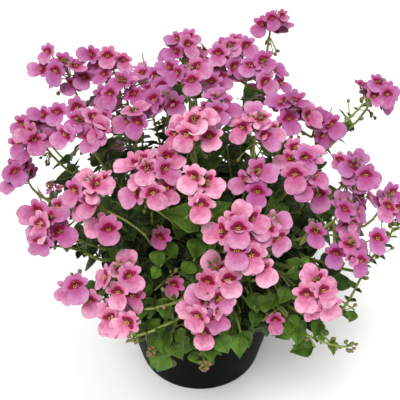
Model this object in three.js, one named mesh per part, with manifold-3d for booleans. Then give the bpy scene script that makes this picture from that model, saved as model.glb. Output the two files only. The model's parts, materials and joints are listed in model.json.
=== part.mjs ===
// A potted twinspur: a round nursery pot, its potting mix, leafy stems and sprays of flowers.
// Millimetres, +Z up. The origin is the middle of the pot's base, and the front faces -Y.

import * as THREE from 'three';
import { mergeVertices } from 'three/addons/utils/BufferGeometryUtils.js';
import Module from 'manifold-3d';

const wasm = await Module();
wasm.setup();

// Pot and potting mix
const potHeight = 120;
const baseRadius = 52;
const rimRadius = 75;
const wallThickness = 2.2;
const floorThickness = 3;
const baseChamfer = 1.5;
const lipHeight = 9;
const lipReach = 1.3;
const potSides = 28;
const drainRadius = 3.5;
const drainRingRadius = 34;
const drainCount = 4;
const mixTop = 107;
const gap = 0.3;
const holeSlack = 0.2;
// Detail finer than this is dropped where stems, leaves and flowers join
const slimDetail = 0.1;

// Leafy stems, each in its own hole in the potting mix
const crownHeight = 112;
const leafyStemCount = 10;
const firstStemHeading = -90;
const stemRingInner = 26;
const stemRingOuter = 42;
const trunkRadius = 2.4;
const trunkTop = 122;
const trunkSides = 5;
const trunkBite = 1.5;
const holeDepth = 12;
const branchRadius = 1.15;
const branchSides = 3;
const branchSteps = 3;
const branchFlare = 1.25;
const branchRise = 22;
const branchRun = 26;
const shootSteps = 5;
const shootFlare = 1.4;
const shootRise = 16;
const shootHang = 48;
const shootCurl = 5;

// Flowers and their heads
const flowerRadius = 8;
const sizeSpread = 0.1;
const petalThickness = 0.8;
const throatDepth = 1.3;
const calyxDepth = 2.2;
const calyxRadius = 1.3;
const domeRadius = 13;
const domeSpread = 0.9;
const budTip = 6;
const coreBottom = 4;
const coreRadius = 2.8;
const rootShare = 0.08;
// How far a head's outer flowers stand from its middle, by the number of flowers
const ringRadii = [0, 0, 5.6, 7.6, 9.6, 12, 12.3];
// How far each of them stands above or below its neighbours, and the middle one above them all
const ringLifts = [-1, 2.8, -4.6, 2, -3.4, 1];
const middleLift = 2.4;
// How far heads look up, those at the front look at the viewer, and flowers spread out and lean back.
// Flowers at the front turn further to the viewer, most of all on heads that would look away.
const headLookUp = 0.3;
const headLookFront = 0.35;
const flowerLook = 0.45;
const flowerLookMore = 1.6;
const fullView = 0.9;
const tipLookOut = 0.6;
const tipLookUp = 0.7;
const flowerSpread = 0.07;
const flowerTwist = 0.14;
const flowerLean = 0.35;

// Leaves
const leafLength = 23;
const leafWidth = 16;
const leafThickness = 0.7;
const leafFold = 0.1;
const stalkShare = 0.12;
const stalkWidth = 0.1;
const leafRoot = 0.3;
const leafSwing = 1;
const leafLean = 0.5;
const leafSpreads = [1, 0.6];
const branchStations = [3];
const shootStations = [4];
const borderMargin = 1;
const rimMargin = 2;
const headMargin = 8;
const flowerMargin = 1;
const coreMargin = 3;

const up = new THREE.Vector3(0, 0, 1);
const crown = new THREE.Vector3(0, 0, crownHeight);
const viewer = new THREE.Vector3(0, -0.82, 0.57);

// One row is one spray, and holds its heads as [heading, lean, reach, flowers]:
// degrees round the pot from the right, degrees from upright, and millimetres from the crown.
const frontSprays = [
  [[165, 36, 168, 5]],
  [[150, 29, 155, 4]],
  [[-167, 21, 146, 5], [-138, 23, 138, 3]],
  [[112, 13, 150, 4]],
  [[-114, 7, 146, 4], [-134, 14, 134, 3]],
  [[20, 8, 152, 5], [0, 16, 150, 5]],
  [[39, 22, 176, 3]],
  [[-79, 18, 146, 4]],
  [[-32, 27, 146, 5], [-19, 34, 146, 4]],
  [[5, 45, 172, 4]],
  [[-150, 34, 150, 6]],
  [[-168, 45, 150, 5]],
  [[-168, 58, 148, 3]],
  [[-93, 27, 156, 5]],
  [[-64, 28, 152, 5]],
  [[-108, 38, 150, 6]],
  [[-127, 44, 148, 4], [-120, 52, 136, 2]],
  [[-90, 41, 158, 3]],
  [[-70, 38, 142, 3]],
  [[-53, 39, 150, 5]],
  [[-32, 47, 150, 4]],
  [[-40, 54, 140, 4], [-43, 62, 138, 4], [-51, 55, 132, 1]],
  [[-24, 61, 150, 3]],
  [[-79, 48, 150, 5], [-67, 49, 142, 3]],
  [[-74, 58, 142, 1]],
  [[-136, 56, 148, 6]],
  [[-111, 60, 142, 4], [-112, 70, 136, 3]],
  [[-124, 67, 142, 2]],
  [[-105, 51, 114, 1]],
  [[-99, 65, 110, 1]],
  [[-86, 59, 130, 3], [-88, 66, 132, 4], [-89, 75, 126, 1]],
  [[-57, 67, 138, 5]],
  [[-66, 78, 116, 1]],
];

// Rows of sprays round the back: lean, reach, first heading, last heading, how many
const backRows = [
  [36, 150, 62, 122, 3],
  [58, 148, 32, 164, 5],
  [80, 138, 14, 166, 5],
];
const backFlowers = [4, 3, 3, 3];

// Leafy shoots that arch over the rim, as [heading, lean, reach]
const shoots = [
  [-124, 92, 103], [-102, 102, 97], [-88, 100, 96], [-76, 98, 98], [-52, 95, 108], [-34, 92, 112],
  [2, 93, 102], [54, 92, 102], [90, 92, 102], [126, 92, 102], [-178, 92, 102],
];

// Large leaves at the foot of a stem, as [heading from the stem's own, lean, length]: one on every stem,
// and a higher one on the stems of the inner ring
const footLeaves = [[2, 84, 26], [-2, 50, 24]];

function makeRandom(seed) {
  let state = seed;
  return () => {
    state = (state * 1664525 + 1013904223) % 4294967296;
    return state / 4294967296;
  };
}

function direction(heading, lean) {
  const turn = THREE.MathUtils.degToRad(heading);
  const tilt = THREE.MathUtils.degToRad(lean);
  return new THREE.Vector3(
    Math.sin(tilt) * Math.cos(turn),
    Math.sin(tilt) * Math.sin(turn),
    Math.cos(tilt),
  );
}

function toSolid(geometry) {
  geometry.deleteAttribute('normal');
  geometry.deleteAttribute('uv');
  const merged = mergeVertices(geometry, 1e-4);
  return new wasm.Manifold(new wasm.Mesh({
    numProp: 3,
    vertProperties: new Float32Array(merged.attributes.position.array),
    triVerts: new Uint32Array(merged.index.array),
  }));
}

function toGeometry(solid) {
  const mesh = solid.getMesh();
  const geometry = new THREE.BufferGeometry();
  geometry.setAttribute('position', new THREE.BufferAttribute(mesh.vertProperties, 3));
  geometry.setIndex(new THREE.BufferAttribute(mesh.triVerts, 1));
  return geometry;
}

function solidFromFaces(points, faces) {
  const geometry = new THREE.BufferGeometry();
  geometry.setFromPoints(points);
  geometry.setIndex(faces.flat());
  return toSolid(geometry);
}

function joinAll(solids) {
  return solids.reduce((joined, solid) => joined.add(solid)).simplify(slimDetail);
}

function lathe(profile, sides) {
  const geometry = new THREE.LatheGeometry(profile.map(([r, z]) => new THREE.Vector2(r, z)), sides);
  geometry.rotateX(Math.PI / 2);
  return geometry;
}

function peg(x, y, radius, bottom, top, sides) {
  const geometry = new THREE.CylinderGeometry(radius, radius, top - bottom, sides);
  geometry.rotateX(Math.PI / 2);
  geometry.translate(x, y, (top + bottom) / 2);
  return toSolid(geometry);
}

function tube(curve, radius, sides, steps) {
  const section = new THREE.Shape();
  for (let k = 0; k < sides; k += 1) {
    const turn = (k / sides) * Math.PI * 2;
    const x = radius * Math.cos(turn);
    const y = radius * Math.sin(turn);
    if (k === 0) section.moveTo(x, y);
    else section.lineTo(x, y);
  }
  return toSolid(new THREE.ExtrudeGeometry(section, { steps, extrudePath: curve, bevelEnabled: false }));
}

// Pot

function potRadius(z) {
  return baseRadius + ((rimRadius - baseRadius) * z) / potHeight;
}

function makePot() {
  const lipBottom = potHeight - lipHeight;
  const profile = [
    [0, 0],
    [baseRadius - baseChamfer, 0],
    [potRadius(baseChamfer), baseChamfer],
    [potRadius(lipBottom), lipBottom],
    [potRadius(lipBottom) + lipReach, lipBottom + 1],
    [rimRadius + lipReach, potHeight - 1],
    [rimRadius + lipReach - 1, potHeight],
    [rimRadius - wallThickness, potHeight],
    [potRadius(floorThickness) - wallThickness, floorThickness],
    [0, floorThickness],
  ];
  let pot = toSolid(lathe(profile, potSides));
  for (let k = 0; k < drainCount; k += 1) {
    const turn = (k / drainCount) * Math.PI * 2;
    const x = drainRingRadius * Math.cos(turn);
    const y = drainRingRadius * Math.sin(turn);
    pot = pot.subtract(peg(x, y, drainRadius, -1, floorThickness + 1, 6));
  }
  return pot;
}

// Leafy stems stand in two rings, by turns near and far from the middle.

function stemHeading(index) {
  return firstStemHeading + (index * 360) / leafyStemCount;
}

function stemFoot(index) {
  const turn = THREE.MathUtils.degToRad(stemHeading(index));
  const ring = index % 2 === 0 ? stemRingInner : stemRingOuter;
  return new THREE.Vector3(ring * Math.cos(turn), ring * Math.sin(turn), mixTop - holeDepth + gap);
}

function makeMix() {
  const bottom = floorThickness + gap;
  const inset = wallThickness + gap;
  const profile = [
    [0, bottom],
    [potRadius(bottom) - inset, bottom],
    [potRadius(mixTop) - inset, mixTop],
    [0, mixTop],
  ];
  let mix = toSolid(lathe(profile, potSides));
  const holeRadius = trunkRadius + gap + holeSlack;
  for (let k = 0; k < leafyStemCount; k += 1) {
    const foot = stemFoot(k);
    mix = mix.subtract(peg(foot.x, foot.y, holeRadius, mixTop - holeDepth, mixTop + 1, trunkSides));
  }
  return mix;
}

// Flower heads

// The petals' edge as shares of the flower's size, clockwise from the right of the upper lip as seen from
// the front: two small upper lobes that stay together, a lobe at each side and the broad lower lobe.
const petalEdge = [
  [0.4, 0.86, 0.06], [0.58, 0.42, -0.04], [1, 0.1, 0.1], [0.58, -0.34, -0.05], [0.62, -1.08, 0.13],
  [-0.62, -1.08, 0.13], [-0.58, -0.34, -0.05], [-1, 0.1, 0.1], [-0.58, 0.42, -0.04], [-0.4, 0.86, 0.06],
];
// The corners of their underside, and which of them each point of the edge leans back to
const petalUnderside = [
  [0, 0.66, 0], [0.76, 0.04, 0], [0.4, -0.82, 0], [-0.4, -0.82, 0], [-0.76, 0.04, 0],
];
const cornerBehind = [0, 0, 1, 1, 2, 3, 3, 4, 4, 0];

function makeHeads() {
  const random = makeRandom(7);
  const rows = frontSprays.map((heads) => ({ heads, front: true }));
  let turn = 0;
  for (const [lean, reach, first, last, count] of backRows) {
    for (let k = 0; k < count; k += 1) {
      const heading = first + ((last - first) * k) / (count - 1);
      rows.push({ heads: [[heading, lean, reach, backFlowers[turn % backFlowers.length]]], front: false });
      turn += 1;
    }
  }
  return rows.map((row) => row.heads.map(([heading, lean, reach, flowers]) => {
    const radial = direction(heading, lean);
    const facing = radial.clone().addScaledVector(up, headLookUp);
    if (row.front) facing.addScaledVector(viewer, headLookFront);
    facing.normalize();
    const axis = facing.clone().multiplyScalar(tipLookOut).addScaledVector(up, tipLookUp).normalize();
    const outward = direction(heading, 90);
    const centre = crown.clone().addScaledVector(radial, reach).addScaledVector(facing, -domeRadius);
    const away = Math.max(0, fullView - facing.dot(viewer));
    const look = facing.clone();
    if (row.front) look.addScaledVector(viewer, flowerLook + flowerLookMore * away);
    return { centre, facing, look, axis, outward, flowers, spin: random() * 360, random };
  }));
}

function flowerPlaces(head) {
  const hasMiddle = head.flowers >= 5;
  const ringCount = hasMiddle ? head.flowers - 1 : head.flowers;
  const side = new THREE.Vector3().crossVectors(up, head.outward).normalize();
  const high = new THREE.Vector3().crossVectors(head.facing, side).normalize();
  const places = [];
  for (let k = 0; k < head.flowers; k += 1) {
    const middle = hasMiddle && k === ringCount;
    const reach = middle ? 0 : ringRadii[head.flowers];
    const turn = THREE.MathUtils.degToRad(head.spin + (k * 360) / ringCount);
    const lift = middle ? middleLift : ringLifts[k];
    const offset = side.clone().multiplyScalar(reach * Math.cos(turn));
    offset.addScaledVector(high, reach * Math.sin(turn));
    const height = Math.sqrt(domeRadius ** 2 - (reach * domeSpread) ** 2) + lift;
    const position = head.centre.clone().add(offset).addScaledVector(head.facing, height);
    const normal = head.look.clone().addScaledVector(offset, flowerSpread).normalize();
    const top = up.clone().addScaledVector(offset, -flowerTwist).addScaledVector(head.outward, -flowerLean);
    top.addScaledVector(normal, -top.dot(normal)).normalize();
    const size = flowerRadius * (1 + sizeSpread * (head.random() - 0.5));
    places.push({ position, normal, top, size });
  }
  return places;
}

// Which of the calyx's three corners faces this share of the way round the petals
function calyxCorner(share) {
  return Math.round(share * 3) % 3;
}

function makeFlower(place, root) {
  const right = new THREE.Vector3().crossVectors(place.top, place.normal);
  const at = (x, y, z) => place.position.clone()
    .addScaledVector(right, x).addScaledVector(place.top, y).addScaledVector(place.normal, z);
  const scaled = ([x, y, z], back) => at(x * place.size, y * place.size, z * place.size - back);
  const points = petalEdge.map((point) => scaled(point, 0));
  const under = points.length;
  points.push(...petalUnderside.map((point) => scaled(point, petalThickness)));
  const calyx = points.length;
  for (let k = 0; k < 3; k += 1) {
    const turn = Math.PI / 2 - (k * Math.PI * 2) / 3;
    points.push(at(calyxRadius * Math.cos(turn), calyxRadius * Math.sin(turn), -calyxDepth));
  }
  const throat = points.push(at(0, 0, -throatDepth)) - 1;
  const tip = points.push(root) - 1;
  const faces = [];
  petalEdge.forEach((_, k) => {
    const next = (k + 1) % petalEdge.length;
    const behind = under + cornerBehind[k];
    const behindNext = under + cornerBehind[next];
    faces.push([throat, next, k], [k, next, behindNext]);
    if (behindNext !== behind) faces.push([k, behindNext, behind]);
  });
  petalUnderside.forEach((_, k) => {
    const next = (k + 1) % petalUnderside.length;
    const corner = calyx + calyxCorner(k / petalUnderside.length);
    const nextCorner = calyx + calyxCorner(next / petalUnderside.length);
    faces.push([under + k, under + next, corner]);
    if (nextCorner !== corner) faces.push([under + next, nextCorner, corner]);
  });
  for (let k = 0; k < 3; k += 1) {
    faces.push([calyx + k, calyx + ((k + 1) % 3), tip]);
  }
  return solidFromFaces(points, faces);
}

function makeCore(head) {
  const geometry = lathe([[0, -coreBottom], [coreRadius, 0], [0, budTip]], 4);
  geometry.applyQuaternion(new THREE.Quaternion().setFromUnitVectors(up, head.axis));
  geometry.translate(head.centre.x, head.centre.y, head.centre.z);
  return toSolid(geometry);
}

function makeSpray(heads) {
  const solids = [];
  heads.forEach((head, index) => {
    solids.push(makeCore(head));
    for (const place of flowerPlaces(head)) {
      const root = head.centre.clone().lerp(place.position, rootShare);
      solids.push(makeFlower(place, root));
    }
    if (index > 0) {
      const link = new THREE.LineCurve3(heads[0].centre, head.centre);
      solids.push(tube(link, branchRadius, branchSides, 1));
    }
  });
  return joinAll(solids);
}

// Stems and leaves

function stemOf(point) {
  const heading = THREE.MathUtils.radToDeg(Math.atan2(point.y, point.x));
  const turns = Math.round((heading - firstStemHeading) / (360 / leafyStemCount));
  return ((turns % leafyStemCount) + leafyStemCount) % leafyStemCount;
}

function stemTop(index) {
  const foot = stemFoot(index);
  return new THREE.Vector3(foot.x, foot.y, trunkTop - trunkBite);
}

function flowerBranch(index, head) {
  const start = stemTop(index);
  const end = head.centre.clone().addScaledVector(head.axis, -coreBottom - gap);
  const rise = new THREE.Vector3(start.x * branchFlare, start.y * branchFlare, start.z + branchRise);
  const run = end.clone().addScaledVector(head.axis, -branchRun);
  return new THREE.CubicBezierCurve3(start, rise, run, end);
}

function trailingShoot(index, [heading, lean, reach]) {
  const start = stemTop(index);
  const end = crown.clone().addScaledVector(direction(heading, lean), reach);
  const rise = new THREE.Vector3(start.x * shootFlare, start.y * shootFlare, start.z + shootRise);
  const run = end.clone().addScaledVector(direction(heading, 90), -shootCurl).addScaledVector(up, shootHang);
  return new THREE.CubicBezierCurve3(start, rise, run, end);
}

// A point of a leaf by its shares of the length and of half the width, and its height in millimetres
function leafPoint({ base, along, normal, length }, share, side, height) {
  const across = new THREE.Vector3().crossVectors(normal, along).normalize();
  return base.clone()
    .addScaledVector(along, share * length)
    .addScaledVector(across, (side * length * leafWidth) / leafLength / 2)
    .addScaledVector(normal, height);
}

// The edge of an ovate blade from its left round the tip to its right, and the middle of its midrib
const leafEdge = [[0.3, -1, 1], [0.7, -0.76, 0.9], [1, 0, -1], [0.7, 0.76, 0.9], [0.3, 1, 1], [0.5, 0, 0]];

function leafUpper(leaf) {
  const fold = leaf.length * leafFold;
  return leafEdge.map(([share, side, height]) => leafPoint(leaf, share, side, height * fold));
}

function makeLeaf(leaf) {
  const upper = leafUpper(leaf);
  const lower = upper.map((point) => point.clone().addScaledVector(leaf.normal, -leafThickness));
  const stalk = [[-1, 0], [1, 0], [0, -1]].map(([side, height]) => leafPoint(leaf, stalkShare, 0, 0)
    .add(leafPoint(leaf, 0, side * stalkWidth, height * leafThickness).sub(leaf.base)));
  const points = [...upper, ...lower, ...stalk, leaf.base];
  const count = upper.length;
  const middle = count - 1;
  const last = count - 2;
  const [left, right, below, root] = [0, 1, 2, 3].map((k) => 2 * count + k);
  const faces = [
    [left, 0, middle], [left, middle, right], [right, middle, last],
    [right, last, last + count], [right, last + count, below], [below, last + count, middle + count],
    [below, middle + count, count], [below, count, left], [left, count, 0],
    [left, right, root], [right, below, root], [below, left, root],
  ];
  for (let k = 0; k < last; k += 1) {
    faces.push([k, k + 1, middle], [k + 1 + count, k + count, middle + count]);
    faces.push([k, k + count, k + 1 + count], [k, k + 1 + count, k + 1]);
  }
  return solidFromFaces(points, faces);
}

function isClear(point, index, heads) {
  const radius = Math.hypot(point.x, point.y);
  const heading = THREE.MathUtils.radToDeg(Math.atan2(point.y, point.x));
  const turned = Math.abs(((heading - stemHeading(index) + 900) % 360) - 180);
  const toBorder = radius * Math.sin(THREE.MathUtils.degToRad(180 / leafyStemCount - turned));
  if (toBorder < borderMargin) return false;
  const overMix = point.z > mixTop + rimMargin && radius < potRadius(mixTop) - wallThickness - rimMargin;
  const nearPot = point.z < potHeight + rimMargin && radius < rimRadius + lipReach + rimMargin;
  if (nearPot && !overMix) return false;
  return heads.every((head) => {
    const offset = point.clone().sub(head.centre);
    const height = offset.dot(head.facing);
    const away = Math.sqrt(Math.max(0, offset.lengthSq() - height * height));
    const spread = ringRadii[head.flowers] + flowerRadius + flowerMargin;
    const inFlowers = height > 1 && height < domeRadius + headMargin && away < spread;
    return !inFlowers && offset.length() > coreRadius + coreMargin;
  });
}

function leafIsClear(leaf, index, heads) {
  const probes = leafUpper(leaf);
  probes.push(leafPoint(leaf, 0.25, 0, 0), leafPoint(leaf, 0.75, 0, 0));
  return probes.every((point) => isClear(point, index, heads));
}

// Opposite leaves at chosen steps of a branch. A leaf closes up to its stem, or is left out, where it
// would cross something else.
function leavesOn(curve, steps, stations, index, heads, random) {
  const leaves = [];
  const joints = curve.getSpacedPoints(steps);
  for (const station of stations) {
    const joint = joints[station].clone().lerp(joints[station - 1], 0.5);
    const tangent = joints[station].clone().sub(joints[station - 1]).normalize();
    const outward = new THREE.Vector3(joint.x, joint.y, 0).normalize();
    const inward = up.clone().sub(outward);
    const across = new THREE.Vector3().crossVectors(tangent, inward).normalize();
    const lift = new THREE.Vector3().crossVectors(across, tangent);
    for (const side of [-1, 1]) {
      const swing = (random() - 0.5) * leafSwing;
      const length = leafLength * (0.8 + 0.3 * random());
      const leaf = leafSpreads.map((spread) => {
        const along = across.clone().multiplyScalar(side * spread).addScaledVector(lift, swing)
          .addScaledVector(tangent, leafLean).normalize();
        const normal = outward.clone().add(up);
        normal.addScaledVector(along, -normal.dot(along)).normalize();
        return { base: joint.clone().addScaledVector(along, -leafRoot), along, normal, length };
      }).find((choice) => leafIsClear(choice, index, heads));
      if (leaf) leaves.push(leaf);
    }
  }
  return leaves;
}

function tipLeaf(curve, index, heads) {
  const base = curve.getPointAt(1).addScaledVector(curve.getTangentAt(1), -leafRoot * 2);
  const along = curve.getTangentAt(1);
  const normal = new THREE.Vector3(base.x, base.y, 0).normalize().add(up);
  normal.addScaledVector(along, -normal.dot(along)).normalize();
  const leaf = { base, along, normal, length: leafLength };
  return leafIsClear(leaf, index, heads) ? [leaf] : [];
}

function footLeavesOf(index) {
  return footLeaves.slice(0, index % 2 === 0 ? 2 : 1).map(([turn, lean, length]) => {
    const along = direction(stemHeading(index) + turn, lean);
    const base = stemTop(index).addScaledVector(along, -leafRoot);
    const normal = up.clone().addScaledVector(along, -along.z).normalize();
    return { base, along, normal, length };
  });
}

function makeLeafyStem(index, sprays) {
  const heads = sprays.flat();
  const foot = stemFoot(index);
  const random = makeRandom(101 + index);
  const solids = [peg(foot.x, foot.y, trunkRadius, foot.z, trunkTop, trunkSides)];
  const leaves = footLeavesOf(index).filter((leaf) => leafIsClear(leaf, index, heads));
  for (const [head] of sprays) {
    if (stemOf(head.centre) !== index) continue;
    const curve = flowerBranch(index, head);
    solids.push(tube(curve, branchRadius, branchSides, branchSteps));
    leaves.push(...leavesOn(curve, branchSteps, branchStations, index, heads, random));
  }
  for (const shoot of shoots) {
    if (stemOf(direction(shoot[0], 90)) !== index) continue;
    const curve = trailingShoot(index, shoot);
    solids.push(tube(curve, branchRadius, branchSides, shootSteps));
    leaves.push(...leavesOn(curve, shootSteps, shootStations, index, heads, random));
    leaves.push(...tipLeaf(curve, index, heads));
  }
  solids.push(...leaves.map(makeLeaf));
  return joinAll(solids);
}

// The whole plant in its pot

const finishes = {
  pot: new THREE.MeshStandardMaterial({ color: 0x151713, roughness: 0.55, metalness: 0 }),
  mix: new THREE.MeshStandardMaterial({ color: 0x2b1c12, roughness: 1, metalness: 0 }),
  leaf: new THREE.MeshStandardMaterial({ color: 0x4a742d, roughness: 0.6, metalness: 0 }),
  petal: new THREE.MeshStandardMaterial({ color: 0xd57dac, roughness: 0.6, metalness: 0 }),
};

const plant = new THREE.Group();

function addPiece(name, solid, finish) {
  const mesh = new THREE.Mesh(toGeometry(solid), finish);
  mesh.name = name;
  plant.add(mesh);
}

function numbered(name, index) {
  return `${name}_${String(index + 1).padStart(2, '0')}`;
}

const sprays = makeHeads();
addPiece('pot', makePot(), finishes.pot);
addPiece('potting_mix', makeMix(), finishes.mix);
for (let k = 0; k < leafyStemCount; k += 1) {
  addPiece(numbered('leafy_stem', k), makeLeafyStem(k, sprays), finishes.leaf);
}
sprays.forEach((heads, index) => {
  addPiece(numbered('flower_spray', index), makeSpray(heads), finishes.petal);
});

export default plant;
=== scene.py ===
# Looks for the potted twinspur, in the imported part's frame: +Z up, the front faces -Y, metres in meshes.
# The plant's layout is worked out in millimetres and degrees, by the same rules as the part's own solids.
import json
import math
from itertools import combinations

import bpy
import numpy as np
from mathutils import Matrix, Vector, noise

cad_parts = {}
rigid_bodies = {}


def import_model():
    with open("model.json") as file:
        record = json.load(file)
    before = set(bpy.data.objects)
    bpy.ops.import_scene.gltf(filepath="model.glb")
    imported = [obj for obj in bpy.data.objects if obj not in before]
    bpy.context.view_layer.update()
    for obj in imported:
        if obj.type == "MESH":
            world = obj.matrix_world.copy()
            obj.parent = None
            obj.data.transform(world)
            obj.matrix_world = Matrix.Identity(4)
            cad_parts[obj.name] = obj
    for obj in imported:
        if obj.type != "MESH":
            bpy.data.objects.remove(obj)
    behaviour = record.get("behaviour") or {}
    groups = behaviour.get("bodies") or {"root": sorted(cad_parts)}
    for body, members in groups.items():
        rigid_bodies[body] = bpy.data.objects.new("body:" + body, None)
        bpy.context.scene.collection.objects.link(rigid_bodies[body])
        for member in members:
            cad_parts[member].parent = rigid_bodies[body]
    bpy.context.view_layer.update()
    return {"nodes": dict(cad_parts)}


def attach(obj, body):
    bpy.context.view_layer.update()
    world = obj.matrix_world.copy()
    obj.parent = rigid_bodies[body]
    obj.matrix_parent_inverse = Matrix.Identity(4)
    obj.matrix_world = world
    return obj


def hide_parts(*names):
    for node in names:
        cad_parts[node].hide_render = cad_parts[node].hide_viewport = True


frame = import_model()
mm = 0.001
up = Vector((0, 0, 1))
goldenAngle = 137.5


# Small helpers

def newObject(name, data):
    made = bpy.data.objects.new(name, data)
    bpy.context.scene.collection.objects.link(made)
    return made


def colour(code):
    # "#rrggbb" as the picture shows it, to the linear values that sockets take
    channels = [int(code[k:k + 2], 16) / 255 for k in (1, 3, 5)]
    return [c / 12.92 if c <= 0.04045 else ((c + 0.055) / 1.055) ** 2.4 for c in channels] + [1]


def clamped(value):
    return min(1, max(0, value))


def flattened(vector, normal):
    # the direction, laid at a right angle to the normal
    return (vector - normal * vector.dot(normal)).normalized()


def makeRandom(seed):
    state = seed
    while True:
        state = (state * 1664525 + 1013904223) % 4294967296
        yield state / 4294967296


def draw(random, start, more):
    return start + more * next(random)


def around(random, spread):
    # from minus half the spread to plus half of it
    return spread * (next(random) - 0.5)


def direction(heading, lean):
    turn, tilt = math.radians(heading), math.radians(lean)
    return Vector((math.sin(tilt) * math.cos(turn), math.sin(tilt) * math.sin(turn), math.cos(tilt)))


def outwardAt(point):
    return Vector((point.x, point.y, 0)).normalized()


# Camera

cameraSetup = {"lookAt": (0, 0, 0.153), "distance": 0.40425, "elevation": 35, "lens": 49.5, "sensor": 36,
               "nearest": 0.01}


def makeCamera():
    data = bpy.data.cameras.new("camera")
    data.lens = cameraSetup["lens"]
    data.sensor_width = cameraSetup["sensor"]
    data.clip_start = cameraSetup["nearest"]
    camera = newObject("camera", data)
    tilt = math.radians(cameraSetup["elevation"])
    back = Vector((0, -math.cos(tilt), math.sin(tilt)))
    camera.location = Vector(cameraSetup["lookAt"]) + back * cameraSetup["distance"]
    camera.rotation_euler = (-back).to_track_quat("-Z", "Y").to_euler()
    bpy.context.scene.camera = camera


makeCamera()
print("camera placed")


# Layout: heads of flowers, branches and leaves, in millimetres

layout = {
    "crownHeight": 112,
    "stemCount": 10,
    "firstHeading": -90,
    "stemRings": (26, 42),
    "trunkTop": 122,
    "trunkSink": 1.5,       # of the branches into the top of their main stem
    "mixTop": 107,
    "potHeight": 120,
    "rimRadius": 75,
    "mixRadius": 68.3,
    "potRoom": (3.3, 2),    # that leaves keep beside the rim, and above it and the mix
    "headLookUp": 0.3,
    "headLookFront": 0.35,
    "tipLook": (0.6, 0.7),
    "domeRadius": 13,
    "domeSpread": 0.9,
    "flowerRadius": 8,
    "sizeSpread": 0.1,
    "ringRadii": (0, 0, 5.6, 7.6, 9.6, 12, 12.3),
    "ringLifts": (-1, 2.8, -4.6, 2, -3.4, 1),
    "middleLift": 2.4,
    "flowerSpread": 0.07,
    "flowerTwist": 0.14,
    "flowerLean": 0.35,
    "lookFront": 0.45,
    "lookMore": 1.6,        # for heads that would turn away from the viewer
    "lookFrom": 0.9,        # 1 would be a head that faces the viewer squarely
    "closeness": 0.86,      # of the rings, against the part's
    "headSeed": 7,
}
# the part's own branches and leaves: how far they bow out, rise and reach back from their ends
branchSet = {"gap": 4.3, "bow": 1.25, "rise": 22, "back": 26, "shootBow": 1.4, "shootRise": 16,
             "shootBack": 5, "shootDrop": 48, "bareBelow": -50, "bareSize": 0.5, "bareEnd": 9, "seed": 101}
# the room that a leaf keeps is over a head's dome, past its flowers and round its middle
bladeSet = {"length": 23, "width": 16, "fold": 0.1, "spread": (0.8, 0.3), "sink": 0.3, "endLength": 16,
            "room": (8, 1, 5.8)}
bladeProbes = [(0.3, -1, 1), (0.7, -0.76, 0.9), (1, 0, -1), (0.7, 0.76, 0.9), (0.3, 1, 1), (0.5, 0, 0),
               (0.25, 0, 0), (0.75, 0, 0)]      # share of the length, of the half width and of the fold

# One row is one spray of heads: heading round the pot, lean from upright, reach from the crown, flowers
frontSprays = [
    [(165, 36, 168, 5)],
    [(150, 29, 155, 4)],
    [(-167, 21, 146, 5), (-138, 23, 138, 3)],
    [(112, 13, 150, 4)],
    [(-114, 7, 146, 4), (-134, 14, 134, 3)],
    [(20, 8, 152, 5), (0, 16, 150, 5)],
    [(39, 22, 176, 3)],
    [(-79, 18, 146, 4)],
    [(-32, 27, 146, 5), (-19, 34, 146, 4)],
    [(5, 45, 172, 4)],
    [(-150, 34, 150, 6)],
    [(-168, 45, 150, 5)],
    [(-168, 58, 148, 3)],
    [(-93, 27, 156, 5)],
    [(-64, 28, 152, 5)],
    [(-108, 38, 150, 6)],
    [(-127, 44, 148, 4), (-120, 52, 136, 2)],
    [(-90, 41, 158, 3)],
    [(-70, 38, 142, 3)],
    [(-53, 39, 150, 5)],
    [(-32, 47, 150, 4)],
    [(-40, 54, 140, 4), (-43, 62, 138, 4), (-51, 55, 132, 1)],
    [(-24, 61, 150, 3)],
    [(-79, 48, 150, 5), (-67, 49, 142, 3)],
    [(-74, 58, 142, 1)],
    [(-136, 56, 148, 6)],
    [(-111, 60, 142, 4), (-112, 70, 136, 3)],
    [(-124, 67, 142, 2)],
    [(-105, 51, 114, 1)],
    [(-99, 65, 110, 1)],
    [(-86, 59, 130, 3), (-88, 66, 132, 4), (-89, 75, 126, 1)],
    [(-57, 67, 138, 5)],
    [(-66, 78, 116, 1)],
]
# rows of single heads at the back: lean, reach, first and last heading, how many; then their flowers in turn
backRows = [(36, 150, 62, 122, 3), (58, 148, 32, 164, 5), (80, 138, 14, 166, 5)]
backFlowers = [4, 3, 3, 3]
# trailing shoots over the rim: heading, lean, reach
shoots = [
    (-124, 92, 103), (-102, 102, 97), (-88, 100, 96), (-76, 98, 98), (-52, 95, 108), (-34, 92, 112),
    (2, 93, 102), (54, 92, 102), (90, 92, 102), (126, 92, 102), (-178, 92, 102),
]
# leaves at the top of a main stem: turn, lean, length; the second one only on the inner ring of stems
footLeaves = [(2, 84, 26), (-2, 50, 24)]
smallLeaves = {12: 0.6, 13: 0.5, 9: 0.7}     # sprays whose leaf pair is small, and its share
crown = Vector((0, 0, layout["crownHeight"]))
viewer = Vector((0, -0.82, 0.57))


def headAxes(head):
    # sideways and upwards on the head's face
    side = up.cross(head["outward"]).normalized()
    return side, head["facing"].cross(side).normalized()


def outOn(head, degrees):
    # away from the head's middle, this far round its face
    side, high = headAxes(head)
    turn = math.radians(degrees)
    return side * math.cos(turn) + high * math.sin(turn)


def ringCountOf(flowers):
    # from five flowers on, one stands in the middle
    return flowers - 1 if flowers >= 5 else flowers


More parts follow.
